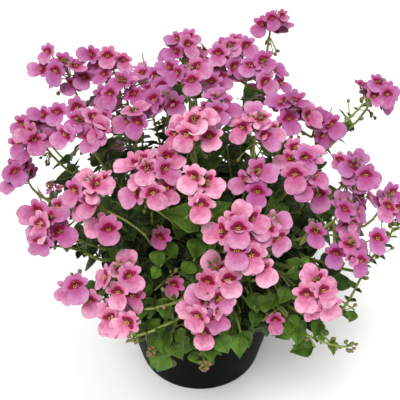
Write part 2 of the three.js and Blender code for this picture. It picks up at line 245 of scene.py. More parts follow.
def flowerPlaces(head, random):
    flowers = head["flowers"]
    ringCount = ringCountOf(flowers)
    side, high = headAxes(head)
    places = []
    for k in range(flowers):
        middle = k == ringCount
        reach = 0 if middle else layout["ringRadii"][flowers] * layout["closeness"]
        turn = math.radians(head["spin"] + k * 360 / ringCount)
        lift = layout["middleLift"] if middle else layout["ringLifts"][k]
        offset = side * (reach * math.cos(turn)) + high * (reach * math.sin(turn))
        height = math.sqrt(layout["domeRadius"] ** 2 - (reach * layout["domeSpread"]) ** 2) + lift
        normal = (head["facing"] + head["look"] + offset * layout["flowerSpread"]).normalized()
        top = up - offset * layout["flowerTwist"] - head["outward"] * layout["flowerLean"]
        size = layout["flowerRadius"] * (1 + around(random, layout["sizeSpread"]))
        position = head["centre"] + offset + head["facing"] * height
        places.append({"at": position, "normal": normal, "along": flattened(top, normal), "size": size})
    return places


def makeHead(row, front, spray, random):
    heading, lean, reach, flowers = row
    radial = direction(heading, lean)
    facing = radial + up * layout["headLookUp"]
    if front:
        facing += viewer * layout["headLookFront"]
    facing.normalize()
    out, rise = layout["tipLook"]
    turnedAway = max(0, layout["lookFrom"] - facing.dot(viewer))
    look = viewer * (layout["lookFront"] + layout["lookMore"] * turnedAway)
    return {
        "centre": crown + radial * reach - facing * layout["domeRadius"],
        "facing": facing,
        "axis": (facing * out + up * rise).normalized(),
        "outward": direction(heading, 90),
        "flowers": flowers,
        "spin": next(random) * 360,
        "front": front,
        "spray": spray,
        "look": look if front else Vector(),
    }


def makeHeads():
    random = makeRandom(layout["headSeed"])
    rows = [(heads, True) for heads in frontSprays]
    for lean, reach, first, last, count in backRows:
        for k in range(count):
            heading = first + (last - first) * k / (count - 1)
            flowers = backFlowers[(len(rows) - len(frontSprays)) % len(backFlowers)]
            rows.append(([(heading, lean, reach, flowers)], False))
    sprays = [[makeHead(row, front, k + 1, random) for row in heads] for k, (heads, front) in enumerate(rows)]
    for head in (head for spray in sprays for head in spray):
        head["places"] = flowerPlaces(head, random)
        head["skirt"] = []
    return sprays


# older flowers, lower on the head and half hidden between those of its ring; pairs are the least and how much
# more there may be
skirtSet = {
    "share": 0.42,          # of the places that carry one, on heads above "highFrom"
    "lowShare": 0.22,
    "backShare": 0.9,       # on heads that face the viewer less than "backBelow"
    "backBelow": 0.15,
    "highFrom": 190,
    "fewOn": {1: 0.15, 6: 0.12, 9: 0.3, 22: 0.2, 26: 0.15},      # sprays with a share of their own
    "turn": (0.35, 0.3),
    "reach": (0.95, 0.3),
    "tip": (0.3, 0.5),
    "look": 0.8,
    "twist": 0.5,
    "height": (3.5, 3),
    "size": (0.88, 0.14),
    "seed": 19,
}


def addSkirts(sprays):
    random = makeRandom(skirtSet["seed"])
    for head in (head for spray in sprays for head in spray):
        flowers = head["flowers"]
        if flowers < 4 and head["front"]:
            continue
        ringCount = ringCountOf(flowers)
        for k in range(ringCount):
            out = outOn(head, head["spin"] + (k + skirtSet["turn"][0] + skirtSet["turn"][1] * next(random))
                        * 360 / ringCount)
            reach = layout["ringRadii"][flowers] * draw(random, *skirtSet["reach"])
            normal = head["facing"] + head["look"] * skirtSet["look"] + out * draw(random, *skirtSet["tip"])
            normal.normalize()
            top = up - out * skirtSet["twist"] - head["outward"] * layout["flowerLean"]
            at = head["centre"] + out * reach + head["facing"] * draw(random, *skirtSet["height"])
            size = layout["flowerRadius"] * draw(random, *skirtSet["size"])
            share = skirtSet["share" if at.z > skirtSet["highFrom"] else "lowShare"]
            share = skirtSet["fewOn"].get(head["spray"], share)
            if head["facing"].dot(viewer) < skirtSet["backBelow"]:
                share = skirtSet["backShare"]
            if next(random) <= share:
                place = {"at": at, "normal": normal, "along": flattened(top, normal), "size": size}
                head["skirt"].append(place)


sprays = makeHeads()
addSkirts(sprays)
heads = [head for spray in sprays for head in spray]
headCentres = np.array([head["centre"] for head in heads])
headFacings = np.array([head["facing"] for head in heads])
headSpreads = np.array([layout["ringRadii"][head["flowers"]] + layout["flowerRadius"] for head in heads])


def stemHeading(index):
    return layout["firstHeading"] + index * 360 / layout["stemCount"]


def stemOf(point):
    heading = math.degrees(math.atan2(point.y, point.x))
    turns = round((heading - layout["firstHeading"]) / (360 / layout["stemCount"]))
    return turns % layout["stemCount"]


def stemTop(index):
    out = direction(stemHeading(index), 90) * layout["stemRings"][index % 2]
    return Vector((out.x, out.y, layout["trunkTop"] - layout["trunkSink"]))


def bowed(point, bow, rise):
    # a point above this one and further out
    return Vector((point.x * bow, point.y * bow, point.z + rise))


def bezier(controls, t):
    a, b, c, d = controls
    s = 1 - t
    return a * s ** 3 + b * (3 * s * s * t) + c * (3 * s * t * t) + d * t ** 3


def endDirection(controls, before=0.99):
    return (bezier(controls, 1) - bezier(controls, before)).normalized()


def evenPoints(controls, steps):
    # points at equal distances along the curve, its two ends among them
    fine = [bezier(controls, k / 200) for k in range(201)]
    lengths = np.cumsum([0] + [(b - a).length for a, b in zip(fine, fine[1:])])
    wanted = np.linspace(0, lengths[-1], steps + 1)
    columns = [np.interp(wanted, lengths, [p[axis] for p in fine]) for axis in range(3)]
    return [Vector(p) for p in np.stack(columns, 1)]


def flowerBranch(index, head):
    start = stemTop(index)
    end = head["centre"] - head["axis"] * branchSet["gap"]
    rise = bowed(start, branchSet["bow"], branchSet["rise"])
    return [start, rise, end - head["axis"] * branchSet["back"], end]


def trailingShoot(index, heading, lean, reach):
    start = stemTop(index)
    end = crown + direction(heading, lean) * reach
    rise = bowed(start, branchSet["shootBow"], branchSet["shootRise"])
    over = end - direction(heading, 90) * branchSet["shootBack"] + up * branchSet["shootDrop"]
    return [start, rise, over, end]


def inFlowers(point, headMargin, flowerMargin, coreRoom):
    offset = np.array(point) - headCentres
    height = (offset * headFacings).sum(1)
    square = (offset ** 2).sum(1)
    away = np.sqrt(np.maximum(0, square - height ** 2))
    near = (height > 1) & (height < layout["domeRadius"] + headMargin) & (away < headSpreads + flowerMargin)
    return bool((near | (square < coreRoom ** 2)).any())


def nearPot(point):
    beside, above = layout["potRoom"]
    radius = math.hypot(point.x, point.y)
    overMix = point.z > layout["mixTop"] + above and radius < layout["mixRadius"]
    return point.z < layout["potHeight"] + above and radius < layout["rimRadius"] + beside and not overMix


def crossesSector(point, index):
    # each main stem keeps to its own slice of the plant
    heading = math.degrees(math.atan2(point.y, point.x))
    turned = abs(math.fmod(heading - stemHeading(index) + 900, 360) - 180)
    return math.hypot(point.x, point.y) * math.sin(math.radians(180 / layout["stemCount"] - turned)) < 1


def leafProbes(leaf):
    across = leaf["normal"].cross(leaf["along"]).normalized()
    half = leaf["size"] * bladeSet["width"] / bladeSet["length"] / 2
    fold = leaf["size"] * bladeSet["fold"]
    at, along, normal, size = leaf["at"], leaf["along"], leaf["normal"], leaf["size"]
    return [at + along * (t * size) + across * (s * half) + normal * (h * fold) for t, s, h in bladeProbes]


def partLeafIsClear(leaf, index):
    # the same test that the part's own leaves pass, so that theirs are found again
    probes = leafProbes(leaf)
    return not any(crossesSector(p, index) or nearPot(p) or inFlowers(p, *bladeSet["room"]) for p in probes)


def leafLookingUp(at, along, facing, size):
    return {"at": at, "along": along, "normal": flattened(facing, along), "size": size}


def partLeavesOn(controls, steps, station, index, random):
    leaves = []
    joints = evenPoints(controls, steps)
    joint = joints[station].lerp(joints[station - 1], 0.5)
    tangent = (joints[station] - joints[station - 1]).normalized()
    outward = outwardAt(joint)
    across = tangent.cross(up - outward).normalized()
    lift = across.cross(tangent)
    for side in (-1, 1):
        swing = around(random, 1)
        size = bladeSet["length"] * draw(random, *bladeSet["spread"])
        for spread in (1, 0.6):
            along = (across * (side * spread) + lift * swing + tangent * 0.5).normalized()
            leaf = leafLookingUp(joint - along * bladeSet["sink"], along, outward + up, size)
            if partLeafIsClear(leaf, index):
                leaves.append(leaf)
                break
    return leaves


def resized(leaves, share):
    return [{**leaf, "size": leaf["size"] * share} for leaf in leaves]


def layStem(index, branches, leaves):
    random = makeRandom(branchSet["seed"] + index)
    for turn, lean, size in footLeaves[:2 - index % 2]:
        along = direction(stemHeading(index) + turn, lean)
        leaf = leafLookingUp(stemTop(index) - along * bladeSet["sink"], along, up, size)
        if partLeafIsClear(leaf, index):
            leaves.append(leaf)
    for spray in sprays:
        if stemOf(spray[0]["centre"]) == index:
            controls = flowerBranch(index, spray[0])
            branches.append({"controls": controls, "flowers": True})
            pair = partLeavesOn(controls, 3, 3, index, random)
            leaves += resized(pair, smallLeaves.get(spray[0]["spray"], 1))
    for heading, lean, reach in shoots:
        if stemOf(direction(heading, 90)) == index:
            controls = trailingShoot(index, heading, lean, reach)
            branches.append({"controls": controls, "flowers": False})
            pair = partLeavesOn(controls, 5, 4, index, random)
            # the shoot at the front left hides behind flowers
            bare = max(controls[3].x, controls[3].y) < branchSet["bareBelow"]
            leaves += resized(pair, branchSet["bareSize"]) if bare else pair
            tangent = endDirection(controls)
            base = controls[3] - tangent * (2 * bladeSet["sink"])
            leaf = leafLookingUp(base, tangent, outwardAt(base) + up, bladeSet["length"])
            if partLeafIsClear(leaf, index):
                leaves.append({**leaf, "size": branchSet["bareEnd"] if bare else bladeSet["endLength"]})


def layBranches():
    branches, leaves = [], []
    for index in range(layout["stemCount"]):
        layStem(index, branches, leaves)
    return branches, leaves


branches, partLeaves = layBranches()
print("layout:", len(heads), "heads,", sum(head["flowers"] for head in heads), "flowers,", len(branches),
      "branches,", len(partLeaves), "leaves of the part")


# Flowers: which kind and colour each is

# how salmon the sprays of the middle are, by their number; the others are mauve
salmonSprays = {14: 0.9, 15: 0.4, 16: 0.65, 17: 0.6, 18: 0.9, 24: 0.65, 25: 0.6, 27: 1.0, 28: 0.5, 29: 0.3,
                30: 0.5, 31: 0.85, 32: 0.85, 33: 0.7, 26: 0.25, 20: 0.1, 11: 0.1}
flowerSet = {
    "openKinds": 7,
    "halfOpenShare": 0.06,
    "halfOpenSprays": (29, 30, 33),
    "halfOpenSize": 0.75,
    "size": 0.855,
    "highSize": 0.775,
    "sizeFrom": (200, 60),      # mm above the floor where they begin to be smaller, and over how many more
    "rise": 0.28,
    "roll": 0.5,
    "tip": 0.34,
    "depth": (0.45, 0.55),      # how clear the colour is, the least and how much more
    # skirt flowers get less depth, so more of the darker lip colour: painted shade under their ring
    "skirtShadedDepth": 0.3,
    "halfOpenDepth": -0.2,
    "headTint": 0.25,
    "tint": 0.8,
    "upPaintedLight": 0.5,              # painted light: more salmon, a lighter colour, for a flower that looks up
    "upFrom": 0.45,
    "seed": 31,
}
# single flowers between the heads: middle, and where the lip points as the viewer sees it, in degrees from
# the right
looseFlowers = [
    (-81, 25, 239, -100), (-88, 22, 235, -140), (-67, 22, 241, -130), (-66, 5, 234, -70),
    (-75, 35, 252, -150), (-60, -2, 235, -90), (-39, 8, 248, -80), (-30, 4, 247, -60), (-34, -4, 242, -100),
    (-26, -4, 243, -90), (-20, 9, 250, -140), (-31, -12, 238, -80), (-97, -14, 231, -160),
    (-88, -17, 234, -110), (-77, -21, 239, -90), (-113, -12, 223, -140), (-101, -15, 226, -90),
    (121, -48, 190, -60), (-16, 35, 261, -150), (-8, 35, 262, -40), (21, 15, 267, -90), (29, 11, 265, -60),
    (15, 12, 264, -120), (-63, -111, 164, -100), (-50, -122, 161, -100), (-40, -125, 160, -120),
    (-116, -23, 198, -110), (-95, -74, 201, -150),
    (11, 4, 253, -110), (16, -2, 249, -60), (9, -7, 248, -100), (42, 41, 268, -130), (56, 43, 269, -60),
    (-105, 34, 254, -130), (-108, 27, 245, -140), (-118, -17, 213, -110), (-125, -23, 195, -120),
    (68, -70, 203, -90), (104, -72, 177, -80),
]
looseSet = {"look": 0.5, "toss": 0.5, "tint": 0.3}
# sprays that are moved and made smaller, so that they stand where the picture shows them: move, size
sprayMoves = {36: ((0, -6, -10), 0.9), 46: ((9, 4, 2), 0.7), 37: ((-6, 0, -4), 0.85), 7: ((-1, 0, -5), 0.85),
              10: ((0, 0, 4), 0.95), 34: ((-3, 0, -6), 0.9), 21: ((1, 0, 1), 0.92), 22: ((0, 0, 0), 0.92)}
# the youngest flowers of a head, by the number of its open ones
youngSet = {"counts": (0, 0, 0, 1, 1, 2, 2), "reach": 4.2, "height": (11, 2), "size": (0.42, 0.12),
            "look": 0.7, "tip": 0.8, "twist": 0.4, "halfOpenShare": 0.3, "tint": 0.35, "depth": (0.6, 0.4)}


def moveOf(head):
    move, size = sprayMoves.get(head["spray"], ((0, 0, 0), 1))
    return Vector(move), size


def sizeAt(z):
    start, over = flowerSet["sizeFrom"]
    return flowerSet["size"] + (flowerSet["highSize"] - flowerSet["size"]) * clamped((z - start) / over)


def tossed(place, random):
    # turned a little about its face and tipped a little, so that no two flowers look the same way
    normal = place["normal"]
    spin = Matrix.Rotation(around(random, flowerSet["roll"] * 2), 3, normal)
    along = spin @ place["along"]
    tip = Matrix.Rotation(around(random, flowerSet["tip"] * 2), 3, along)
    nod = Matrix.Rotation(around(random, flowerSet["tip"] * 2), 3, along.cross(normal))
    return nod @ tip @ along, nod @ tip @ normal


def openKind(random):
    return int(next(random) * flowerSet["openKinds"])


def youngRing(head, headTint, random):
    # small and pale, between the buds of the head and its ring
    count = youngSet["counts"][min(head["flowers"], 6)]
    rows = []
    for k in range(count):
        out = outOn(head, head["spin"] + (k + 0.5 + around(random, 0.4)) * 360 / count)
        normal = (head["facing"] + head["look"] * youngSet["look"] + out * youngSet["tip"]).normalized()
        along = flattened(up - out * youngSet["twist"] - head["outward"] * layout["flowerLean"], normal)
        along, normal = tossed({"normal": normal, "along": along}, random)
        size = layout["flowerRadius"] * draw(random, *youngSet["size"])
        height = draw(random, *youngSet["height"])
        rows.append({
            "at": head["centre"] + out * youngSet["reach"] + head["facing"] * height,
            "along": along,
            "normal": normal,
            "size": size,
            "under": False,
            "kind": flowerSet["openKinds"] if next(random) < youngSet["halfOpenShare"] else openKind(random),
            "tint": clamped(headTint + youngSet["tint"]),
            "depth": draw(random, *youngSet["depth"]),
        })
    return rows


def looseRow(x, y, z, lip, random):
    # joins the nearest head of the front, which gives it its stalk and colour
    at = Vector((x, y, z))
    head = min((head for head in heads if head["front"]), key=lambda head: (head["centre"] - at).length)
    turn = math.radians(lip)
    along = -(Vector((math.cos(turn), 0, 0)) + Vector((0, 0.574, 0.819)) * math.sin(turn))
    toss = Vector((around(random, 1), 0, around(random, 1))) * looseSet["toss"]
    normal = (viewer + head["facing"] * looseSet["look"] + toss).normalized()
    along, normal = tossed({"normal": normal, "along": flattened(along, normal)}, random)
    row = {
        "at": at,
        "along": along,
        "normal": normal,
        "size": layout["flowerRadius"] * sizeAt(z),
        "under": True,
        "kind": openKind(random),
        "tint": min(1, draw(random, salmonSprays.get(head["spray"], 0.0), looseSet["tint"])),
        "depth": draw(random, *flowerSet["depth"]),
    }
    head["rows"].append(row)
    return row


def flowerRow(head, place, headTint, random):
    move, smaller = moveOf(head)
    skirt = place in head["skirt"]
    young = head["spray"] in flowerSet["halfOpenSprays"]
    half = young or next(random) < flowerSet["halfOpenShare"]
    along, normal = tossed(place, random)
    least, more = flowerSet["depth"]
    # a skirt flower's lower depth is painted shade
    if young or skirt:
        least = flowerSet["halfOpenDepth" if young else "skirtShadedDepth"]
    # painted light: a flower that looks up is made more salmon and lighter
    upPaintedLight = flowerSet["upPaintedLight"] * (place["normal"].z - flowerSet["upFrom"])
    return {
        "at": place["at"] + along * (flowerSet["rise"] * place["size"]) + move,
        "along": along,
        "normal": normal,
        "size": place["size"] * sizeAt(place["at"].z) * (flowerSet["halfOpenSize"] if young else 1) * smaller,
        "under": skirt,
        "kind": flowerSet["openKinds"] if half else openKind(random),
        "tint": clamped(headTint + around(random, flowerSet["tint"]) + upPaintedLight),
        "depth": draw(random, least, more),
    }


def flowerRows():
    random = makeRandom(flowerSet["seed"])
    rows = []
    for head in heads:
        headTint = salmonSprays.get(head["spray"], 0.0) + around(random, flowerSet["headTint"])
        head["rows"] = [flowerRow(head, place, headTint, random) for place in head["places"] + head["skirt"]]
        if head["front"]:
            head["rows"] += youngRing(head, headTint, random)
        rows += head["rows"]
    return rows + [looseRow(*given, random) for given in looseFlowers]


# calyces whose flowers have fallen, on thin stalks below the high heads
spentSet = {"count": 6, "from": 185, "reach": (0.3, 0.55), "drop": (1, 6), "size": 3.2, "fan": 150,
            "nod": 0.8, "tint": 0.2, "seed": 61}


def addSpent():
    random = makeRandom(spentSet["seed"])
    for head in heads:
        head["spent"] = []
        if not head["front"] or head["flowers"] < 3 or head["centre"].z < spentSet["from"]:
            continue
        middle = head["centre"] + moveOf(head)[0]
        for k in range(spentSet["count"]):
            out = outOn(head, -90 + spentSet["fan"] * ((k + next(random)) / spentSet["count"] - 0.5))
            reach = layout["ringRadii"][head["flowers"]] * draw(random, *spentSet["reach"]) + 1
            at = middle + out * reach - head["axis"] * draw(random, *spentSet["drop"])
            axis = (out - up * spentSet["nod"] * next(random)).normalized()
            head["spent"].append({"at": at, "axis": axis})


flowers = flowerRows()
addSpent()


# Leaves that the part leaves to the scene: pairs all along the branches, and short inner shoots

fillLeaves = {
    "spacing": 9.5,         # mm between pairs
    "lowest": 9,            # mm up the branch where they begin
    "lengths": (9, 19),     # at the top of a branch and low on it
    "shootLengths": (15, 19),
    "innerLengths": (13, 19),
    "spread": (0.8, 0.45),
    "leafyShare": 0.84,     # of a branch
    "bareShare": 0.6,       # of the shoots that end left of "bareBelow"
    "bareBelow": -50,
    "crossing": 50,         # degrees of chance in how pairs cross each other
    "tries": 4,
    "turnStep": 0.6,        # radians round the stem for the next try
    "forward": (0.35, 0.5),
    "droop": 0.25,
    "lookOut": (0.5, 1),
    "room": (5, -1.5, 3),
    "endRoom": (4, -2, 4),
    "innerShoots": 50,
    "innerReach": (0.54, 0.8),      # of the dome
    "innerBow": (1.2, 18),
    "innerBack": 22,
    "dome": 150,
    "domeDepth": 1.02,      # 1 would end them level with the crown
    "rimShoots": 13,
    "rimHeadings": (-138, -30),
    "rimLean": (84, 14),
    "rimReach": (86, 8),
    "rimPath": ((52, 138), (82, 142)),      # radius and height of the two points that bend a shoot
    "endLeaves": 4,
    "endLength": (9, 4),
    "seed": 11,
}


def pathLength(controls):
    return sum((bezier(controls, (k + 1) / 20) - bezier(controls, k / 20)).length for k in range(20))


def fillPair(joint, tangent, size, turn, leaves, random):
    outward = outwardAt(joint)
    across = tangent.cross(up - outward).normalized()
    lift = across.cross(tangent)
    for side in (-1, 1):
        length = size * draw(random, *fillLeaves["spread"])
        for attempt in range(fillLeaves["tries"]):
            # a leaf that has no room is turned round its stem before it is given up
            swing = turn + attempt * fillLeaves["turnStep"]
            arm = across * math.cos(swing) + lift * math.sin(swing)
            along = arm * side + tangent * draw(random, *fillLeaves["forward"])
            along -= up * (fillLeaves["droop"] * next(random))
            along.normalize()
            facing = outward * draw(random, *fillLeaves["lookOut"]) + up
            leaf = leafLookingUp(joint - along * bladeSet["sink"], along, facing, length)
            if not any(nearPot(p) or inFlowers(p, *fillLeaves["room"]) for p in leafProbes(leaf)):
                leaves.append(leaf)
                break


def fillBranch(controls, random, lengths, leafyShare=1):
    leaves = []
    topLength, lowLength = lengths
    steps = max(3, int(pathLength(controls) / fillLeaves["spacing"]))
    joints = evenPoints(controls, steps)
    for k in range(1, steps):
        share = k / steps
        if share * steps * fillLeaves["spacing"] < fillLeaves["lowest"] or share > leafyShare:
            continue
        tangent = (joints[k + 1] - joints[k - 1]).normalized()
        turn = math.radians(90 * (k % 2) + around(random, fillLeaves["crossing"]))
        fillPair(joints[k], tangent, lowLength + (topLength - lowLength) * share, turn, leaves, random)
    return leaves


def innerShoot(k, random):
    # spread evenly over the dome by the golden angle, and shorter than the flowering branches
    lean = math.degrees(math.acos(1 - fillLeaves["domeDepth"] * (k + 0.5) / fillLeaves["innerShoots"]))
    heading = (k * goldenAngle) % 360 - 180
    low, high = fillLeaves["innerReach"]
    end = crown + direction(heading, lean) * (fillLeaves["dome"] * draw(random, low, high - low))
    start = stemTop(stemOf(direction(heading, 90)))
    return [start, bowed(start, *fillLeaves["innerBow"]), end - up * fillLeaves["innerBack"], end]


def rimShoot(k, random):
    # hangs over the front of the rim
    low, high = fillLeaves["rimHeadings"]
    heading = low + (high - low) * (k + around(random, 0.6)) / (fillLeaves["rimShoots"] - 1)
    lean = draw(random, *fillLeaves["rimLean"])
    end = crown + direction(heading, lean) * draw(random, *fillLeaves["rimReach"])
    out = direction(heading, 90)
    bends = [out * radius + up * height for radius, height in fillLeaves["rimPath"]]
    return [stemTop(stemOf(out)), *bends, end]


def layFill():
    random = makeRandom(fillLeaves["seed"])
    leaves, inner = [], []
    for branch in branches:
        atLeft = not branch["flowers"] and branch["controls"][3].x < fillLeaves["bareBelow"]
        share = fillLeaves["bareShare" if atLeft else "leafyShare"]
        lengths = fillLeaves["lengths" if branch["flowers"] else "shootLengths"]
        leaves += fillBranch(branch["controls"], random, lengths, share)
    paths = [innerShoot(k, random) for k in range(fillLeaves["innerShoots"])]
    paths += [rimShoot(k, random) for k in range(fillLeaves["rimShoots"])]
    for controls in paths:
        if nearPot(controls[3]) or inFlowers(controls[3], *fillLeaves["endRoom"]):
            continue
        inner.append(controls)
        leaves += fillBranch(controls, random, fillLeaves["innerLengths"])
        tangent = endDirection(controls, 0.98)
        for k in range(fillLeaves["endLeaves"]):
            spin = Matrix.Rotation(math.radians(90 * k + 360 * next(random)), 3, tangent)
            along = (spin @ tangent.orthogonal().normalized() + tangent * 0.6).normalized()
            size = draw(random, *fillLeaves["endLength"])
            leaves.append(leafLookingUp(controls[3], along, tangent + up, size))
    return leaves, inner


# leaves that show between the heads: middle, length, and where the tip points as the viewer sees it, in
# degrees from the right
frontLeaves = [
    (65, -102, 109, 18, 185), (94, -92, 130, 9, 250), (53, -96, 170, 11, 190), (65, -95, 171, 11, 25),
    (55, -90, 175, 10, 150), (63, -88, 174, 8, 40), (-10, -85, 193, 17, 265), (-1, -91, 181, 17, 255),
    (3, -87, 190, 9, 75), (8, -91, 182, 9, 300), (-6, -96, 169, 13, 235), (-24, -93, 176, 13, 265),
    (-15, -92, 180, 13, 290), (-25, -96, 169, 11, 230), (-18, -87, 190, 8, 60), (22, -96, 168, 15, 250),
    (-12, -101, 150, 11, 40), (-18, -100, 146, 10, 200), (-18, -95, 108, 17, 200), (-28, -94, 90, 20, 240),
    (-8, -95, 101, 12, 330), (-2, -94, 89, 13, 300), (5, -94, 85, 12, 250), (28, -96, 111, 15, 290),
    (19, -95, 108, 13, 250), (10, -95, 99, 11, 270), (-37, -99, 120, 9, 150), (-36, -101, 117, 9, 230),
    (30, -101, 152, 13, 300), (37, -101, 152, 12, 20), (34, -100, 136, 12, 250), (20, -100, 136, 11, 230),
    (-29, -99, 158, 10, 200), (-8, -99, 157, 10, 320), (39, -91, 182, 11, 300), (26, -91, 182, 10, 200),
    (-22, -118, 127, 20, 240), (-19, -118, 132, 18, 272), (-12, -120, 129, 15, 300),
    (-21, -120, 118, 17, 255), (-26, -115, 131, 11, 215), (-9, -117, 136, 12, 320), (4, -118, 127, 16, 285),
    (13, -118, 132, 16, 300), (22, -117, 132, 15, 262),
    (52, -105, 126, 11, 205), (74, -98, 129, 10, 300), (56, -103, 129, 9, 250), (84, -77, 179, 6, 300),
    (51, -101, 128, 14, 205), (57, -99, 130, 14, 285), (64, -99, 125, 13, 315), (61, -103, 121, 14, 262),
    (73, -99, 125, 11, 250), (50, -94, 152, 13, 240), (60, -93, 150, 14, 290), (42, -96, 148, 13, 210),
]
# young shoots that stand out at the sides: nodes with leaves, stalked buds, length of the leaves, points
youngShoots = [
    (5, 4, 4.5, [(98, -69, 146), (110, -64, 156), (118, -61, 166), (121, -57, 173)]),
    (3, 1, 4.5, [(86, -88, 122), (91, -88, 136), (94, -85, 147), (97, -83, 154)]),
    (3, 0, 4.5, [(60, -86, 130), (71, -92, 124), (77, -96, 117), (84, -100, 112)]),
    (3, 1, 4.5, [(56, -92, 118), (76, -101, 113), (84, -103, 113), (93, -103, 114)]),
    (3, 1, 4.5, [(-68, -80, 164), (-75, -84, 171), (-83, -83, 178), (-93, -85, 179)]),
    (4, 3, 4.5, [(-8, -96, 128), (-24, -100, 144), (-34, -102, 148), (-39, -102, 151)]),
    (2, 0, 4.5, [(-4, -90, 122), (-14, -97, 124), (-25, -98, 122), (-33, -100, 119)]),
    (3, 2, 4.5, [(88, -17, 219), (94, -15, 223), (100, -11, 227), (104, -6, 231)]),
    (5, 2, 7.5, [(-7, -106, 158), (-16, -118, 162), (-28, -119, 164), (-42, -116, 163)]),
    (3, 0, 8.5, [(-8, -110, 148), (-16, -124, 153), (-26, -127, 152), (-36, -128, 150)]),
    (1, 0, 4.5, [(-24, -104, 112), (-25, -112, 121), (-26, -118, 127), (-26, -123, 131)]),
    (1, 0, 4.5, [(1, -106, 110), (2, -114, 116), (2, -120, 121), (2, -126, 125)]),
]
# bare stalks that cross the gaps between the heads: upper end, lower end, radius
frontStalks = [
    ((-52, -82, 201), (-32, -84, 187), 0.65), ((-27, -84, 208), (-16, -84, 198), 0.65),
    ((-6, -67, 232), (-1, -76, 220), 0.8), ((28, -66, 225), (23, -77, 210), 0.65),
]
# a front leaf keeps this room from a small flower, or goes behind it; below "low" it hangs over the rim
frontSet = {"toViewer": (0, -0.819, 0.574), "pictureUp": (0, 0.574, 0.819), "lookUp": 0.7, "toss": 1.1,
            "tip": (-0.3, 0.5), "room": 5, "before": 3, "behind": 6, "back": (6, 5), "bow": (1.3, 18),
            "low": 140, "overRim": 84, "rimTop": 132, "rimRise": 8, "seed": 51}
sideSet = {"leafMore": 3, "crossed": 6, "twig": (8, 4), "bud": 3.6, "tuft": 9, "tuftBud": 4,
           "stem": (1.1, 1.0, 0.7), "twigRadii": (0.35, 0.3), "seed": 52}


def layFrontLeaves(random):
    leaves, paths = [], []
    toViewer, pictureUp = Vector(frontSet["toViewer"]), Vector(frontSet["pictureUp"])
    small = [head for head in heads if head["spray"] in flowerSet["halfOpenSprays"]]
    smallFlowers = [row for head in small for row in head["rows"]]
    for x, y, z, size, angle in frontLeaves:
        turn = math.radians(angle)
        along = Vector((math.cos(turn), 0, 0)) + pictureUp * math.sin(turn)
        along = (along + toViewer * draw(random, *frontSet["tip"])).normalized()
        base = Vector((x, y, z)) - along * (size / 2)
        toss = Vector((around(random, 1), around(random, 1), 0)) * frontSet["toss"]
        facing = toViewer + up * frontSet["lookUp"] + toss
        for flower in smallFlowers:
            # a leaf before one of the small single flowers goes behind it
            away = flower["at"] - base - along * (size / 2)
            depth = away.dot(toViewer)
            aside = (away - toViewer * depth).length
            if aside < size / 2 + frontSet["room"] and depth < frontSet["before"]:
                base -= toViewer * (frontSet["behind"] - depth)
        leaves.append({**leafLookingUp(base, along, facing, size), "front": True})
        begin = stemTop(stemOf(base))
        back, deeper = frontSet["back"]
        near = base - along * back - toViewer * deeper
        if z <= frontSet["low"]:
            over = max(frontSet["rimTop"], z + frontSet["rimRise"])
            near = outwardAt(base) * frontSet["overRim"] + up * over
        paths.append([begin, bowed(begin, *frontSet["bow"]), near, base])
    return leaves, paths


def frontStalkPaths():
    paths = []
    for top, low, radius in frontStalks:
        top, low = Vector(top), Vector(low)
        begin = stemTop(stemOf(low))
        lower = low + (low - top) * 0.5 - up * 6
        paths.append(taperedPath(evenPoints([begin, begin + up * 20, lower, low], 8), radius * 1.2, radius))
        upper = [low, low + (top - low) * 0.3 + viewer, top - up, top]
        paths.append(taperedPath(evenPoints(upper, 6), radius, radius))
    return paths


def budTuft(joints, spread, random):
    # green buds at the end of a young shoot
    rows = []
    tip = joints[-1]
    axis = (joints[-1] - joints[-2]).normalized()
    side = axis.orthogonal().normalized()
    for k in range(sideSet["tuft"]):
        out = Matrix.Rotation(math.radians(k * goldenAngle), 3, axis) @ side
        pointing = (out * (1.1 - 0.08 * k) + axis).normalized()
        room = 1.4 if spread else draw(random, 0.5, 0.7)
        rows.append({"at": tip + axis * (0.7 * k - 2) + out * room, "normal": pointing,
                     "along": pointing.orthogonal().normalized(), "size": sideSet["tuftBud"] - 0.15 * k,
                     "kind": k % 2, "tint": next(random)})
        next(random)    # passed over, so that the draws after it stay as they are
    return rows


def layYoungShoots(random):
    leaves, buds = [], []
    paths = frontStalkPaths()
    foot, low, top = sideSet["stem"]
    for nodes, twigs, leafLength, points in youngShoots:
        controls = [Vector(p) for p in points]
        begin = stemTop(stemOf(controls[0]))
        hidden = [begin, begin + up * 14, controls[0] - up * 6, controls[0]]
        paths.append(taperedPath(evenPoints(hidden, 8), foot, low))
        paths.append(taperedPath(evenPoints(controls, 12), low, top))
        joints = evenPoints(controls, nodes + 1)
        for k in range(1, len(joints) - 1):
            tangent = (joints[k + 1] - joints[k - 1]).normalized()
            across = tangent.cross(up).normalized()
            # the pairs of larger leaves cross each other
            arm = across.cross(tangent) if k % 2 and leafLength > sideSet["crossed"] else across
            for side in (-1, 1):
                along = (arm * side + up * (0.6 - next(random)) + tangent * 0.5).normalized()
                size = draw(random, leafLength, sideSet["leafMore"])
                base = joints[k] - along * bladeSet["sink"]
                leaves.append(leafLookingUp(base, along, up + tangent * 0.3, size))
            if k <= twigs:
                # a thin stalk with one long bud
                reach = across * (1 if k % 2 else -1) + up * (0.9 - next(random)) + tangent * 0.7
                reach.normalize()
                end = joints[k] + reach * draw(random, *sideSet["twig"]) + up * 2
                twig = [joints[k], joints[k] + reach * 4, end - up * 2, end]
                paths.append(taperedPath(evenPoints(twig, 5), *sideSet["twigRadii"]))
                axis = (reach + up * 0.6).normalized()
                buds.append({"at": end, "along": axis.orthogonal().normalized(), "normal": axis,
                             "size": sideSet["bud"], "kind": 1, "tint": 0.9})
        buds += budTuft(joints, nodes > 1, random)
    return leaves, paths, buds


def taperedPath(points, start, end):
    count = len(points) - 1
    return [(point, start + (end - start) * k / count) for k, point in enumerate(points)]


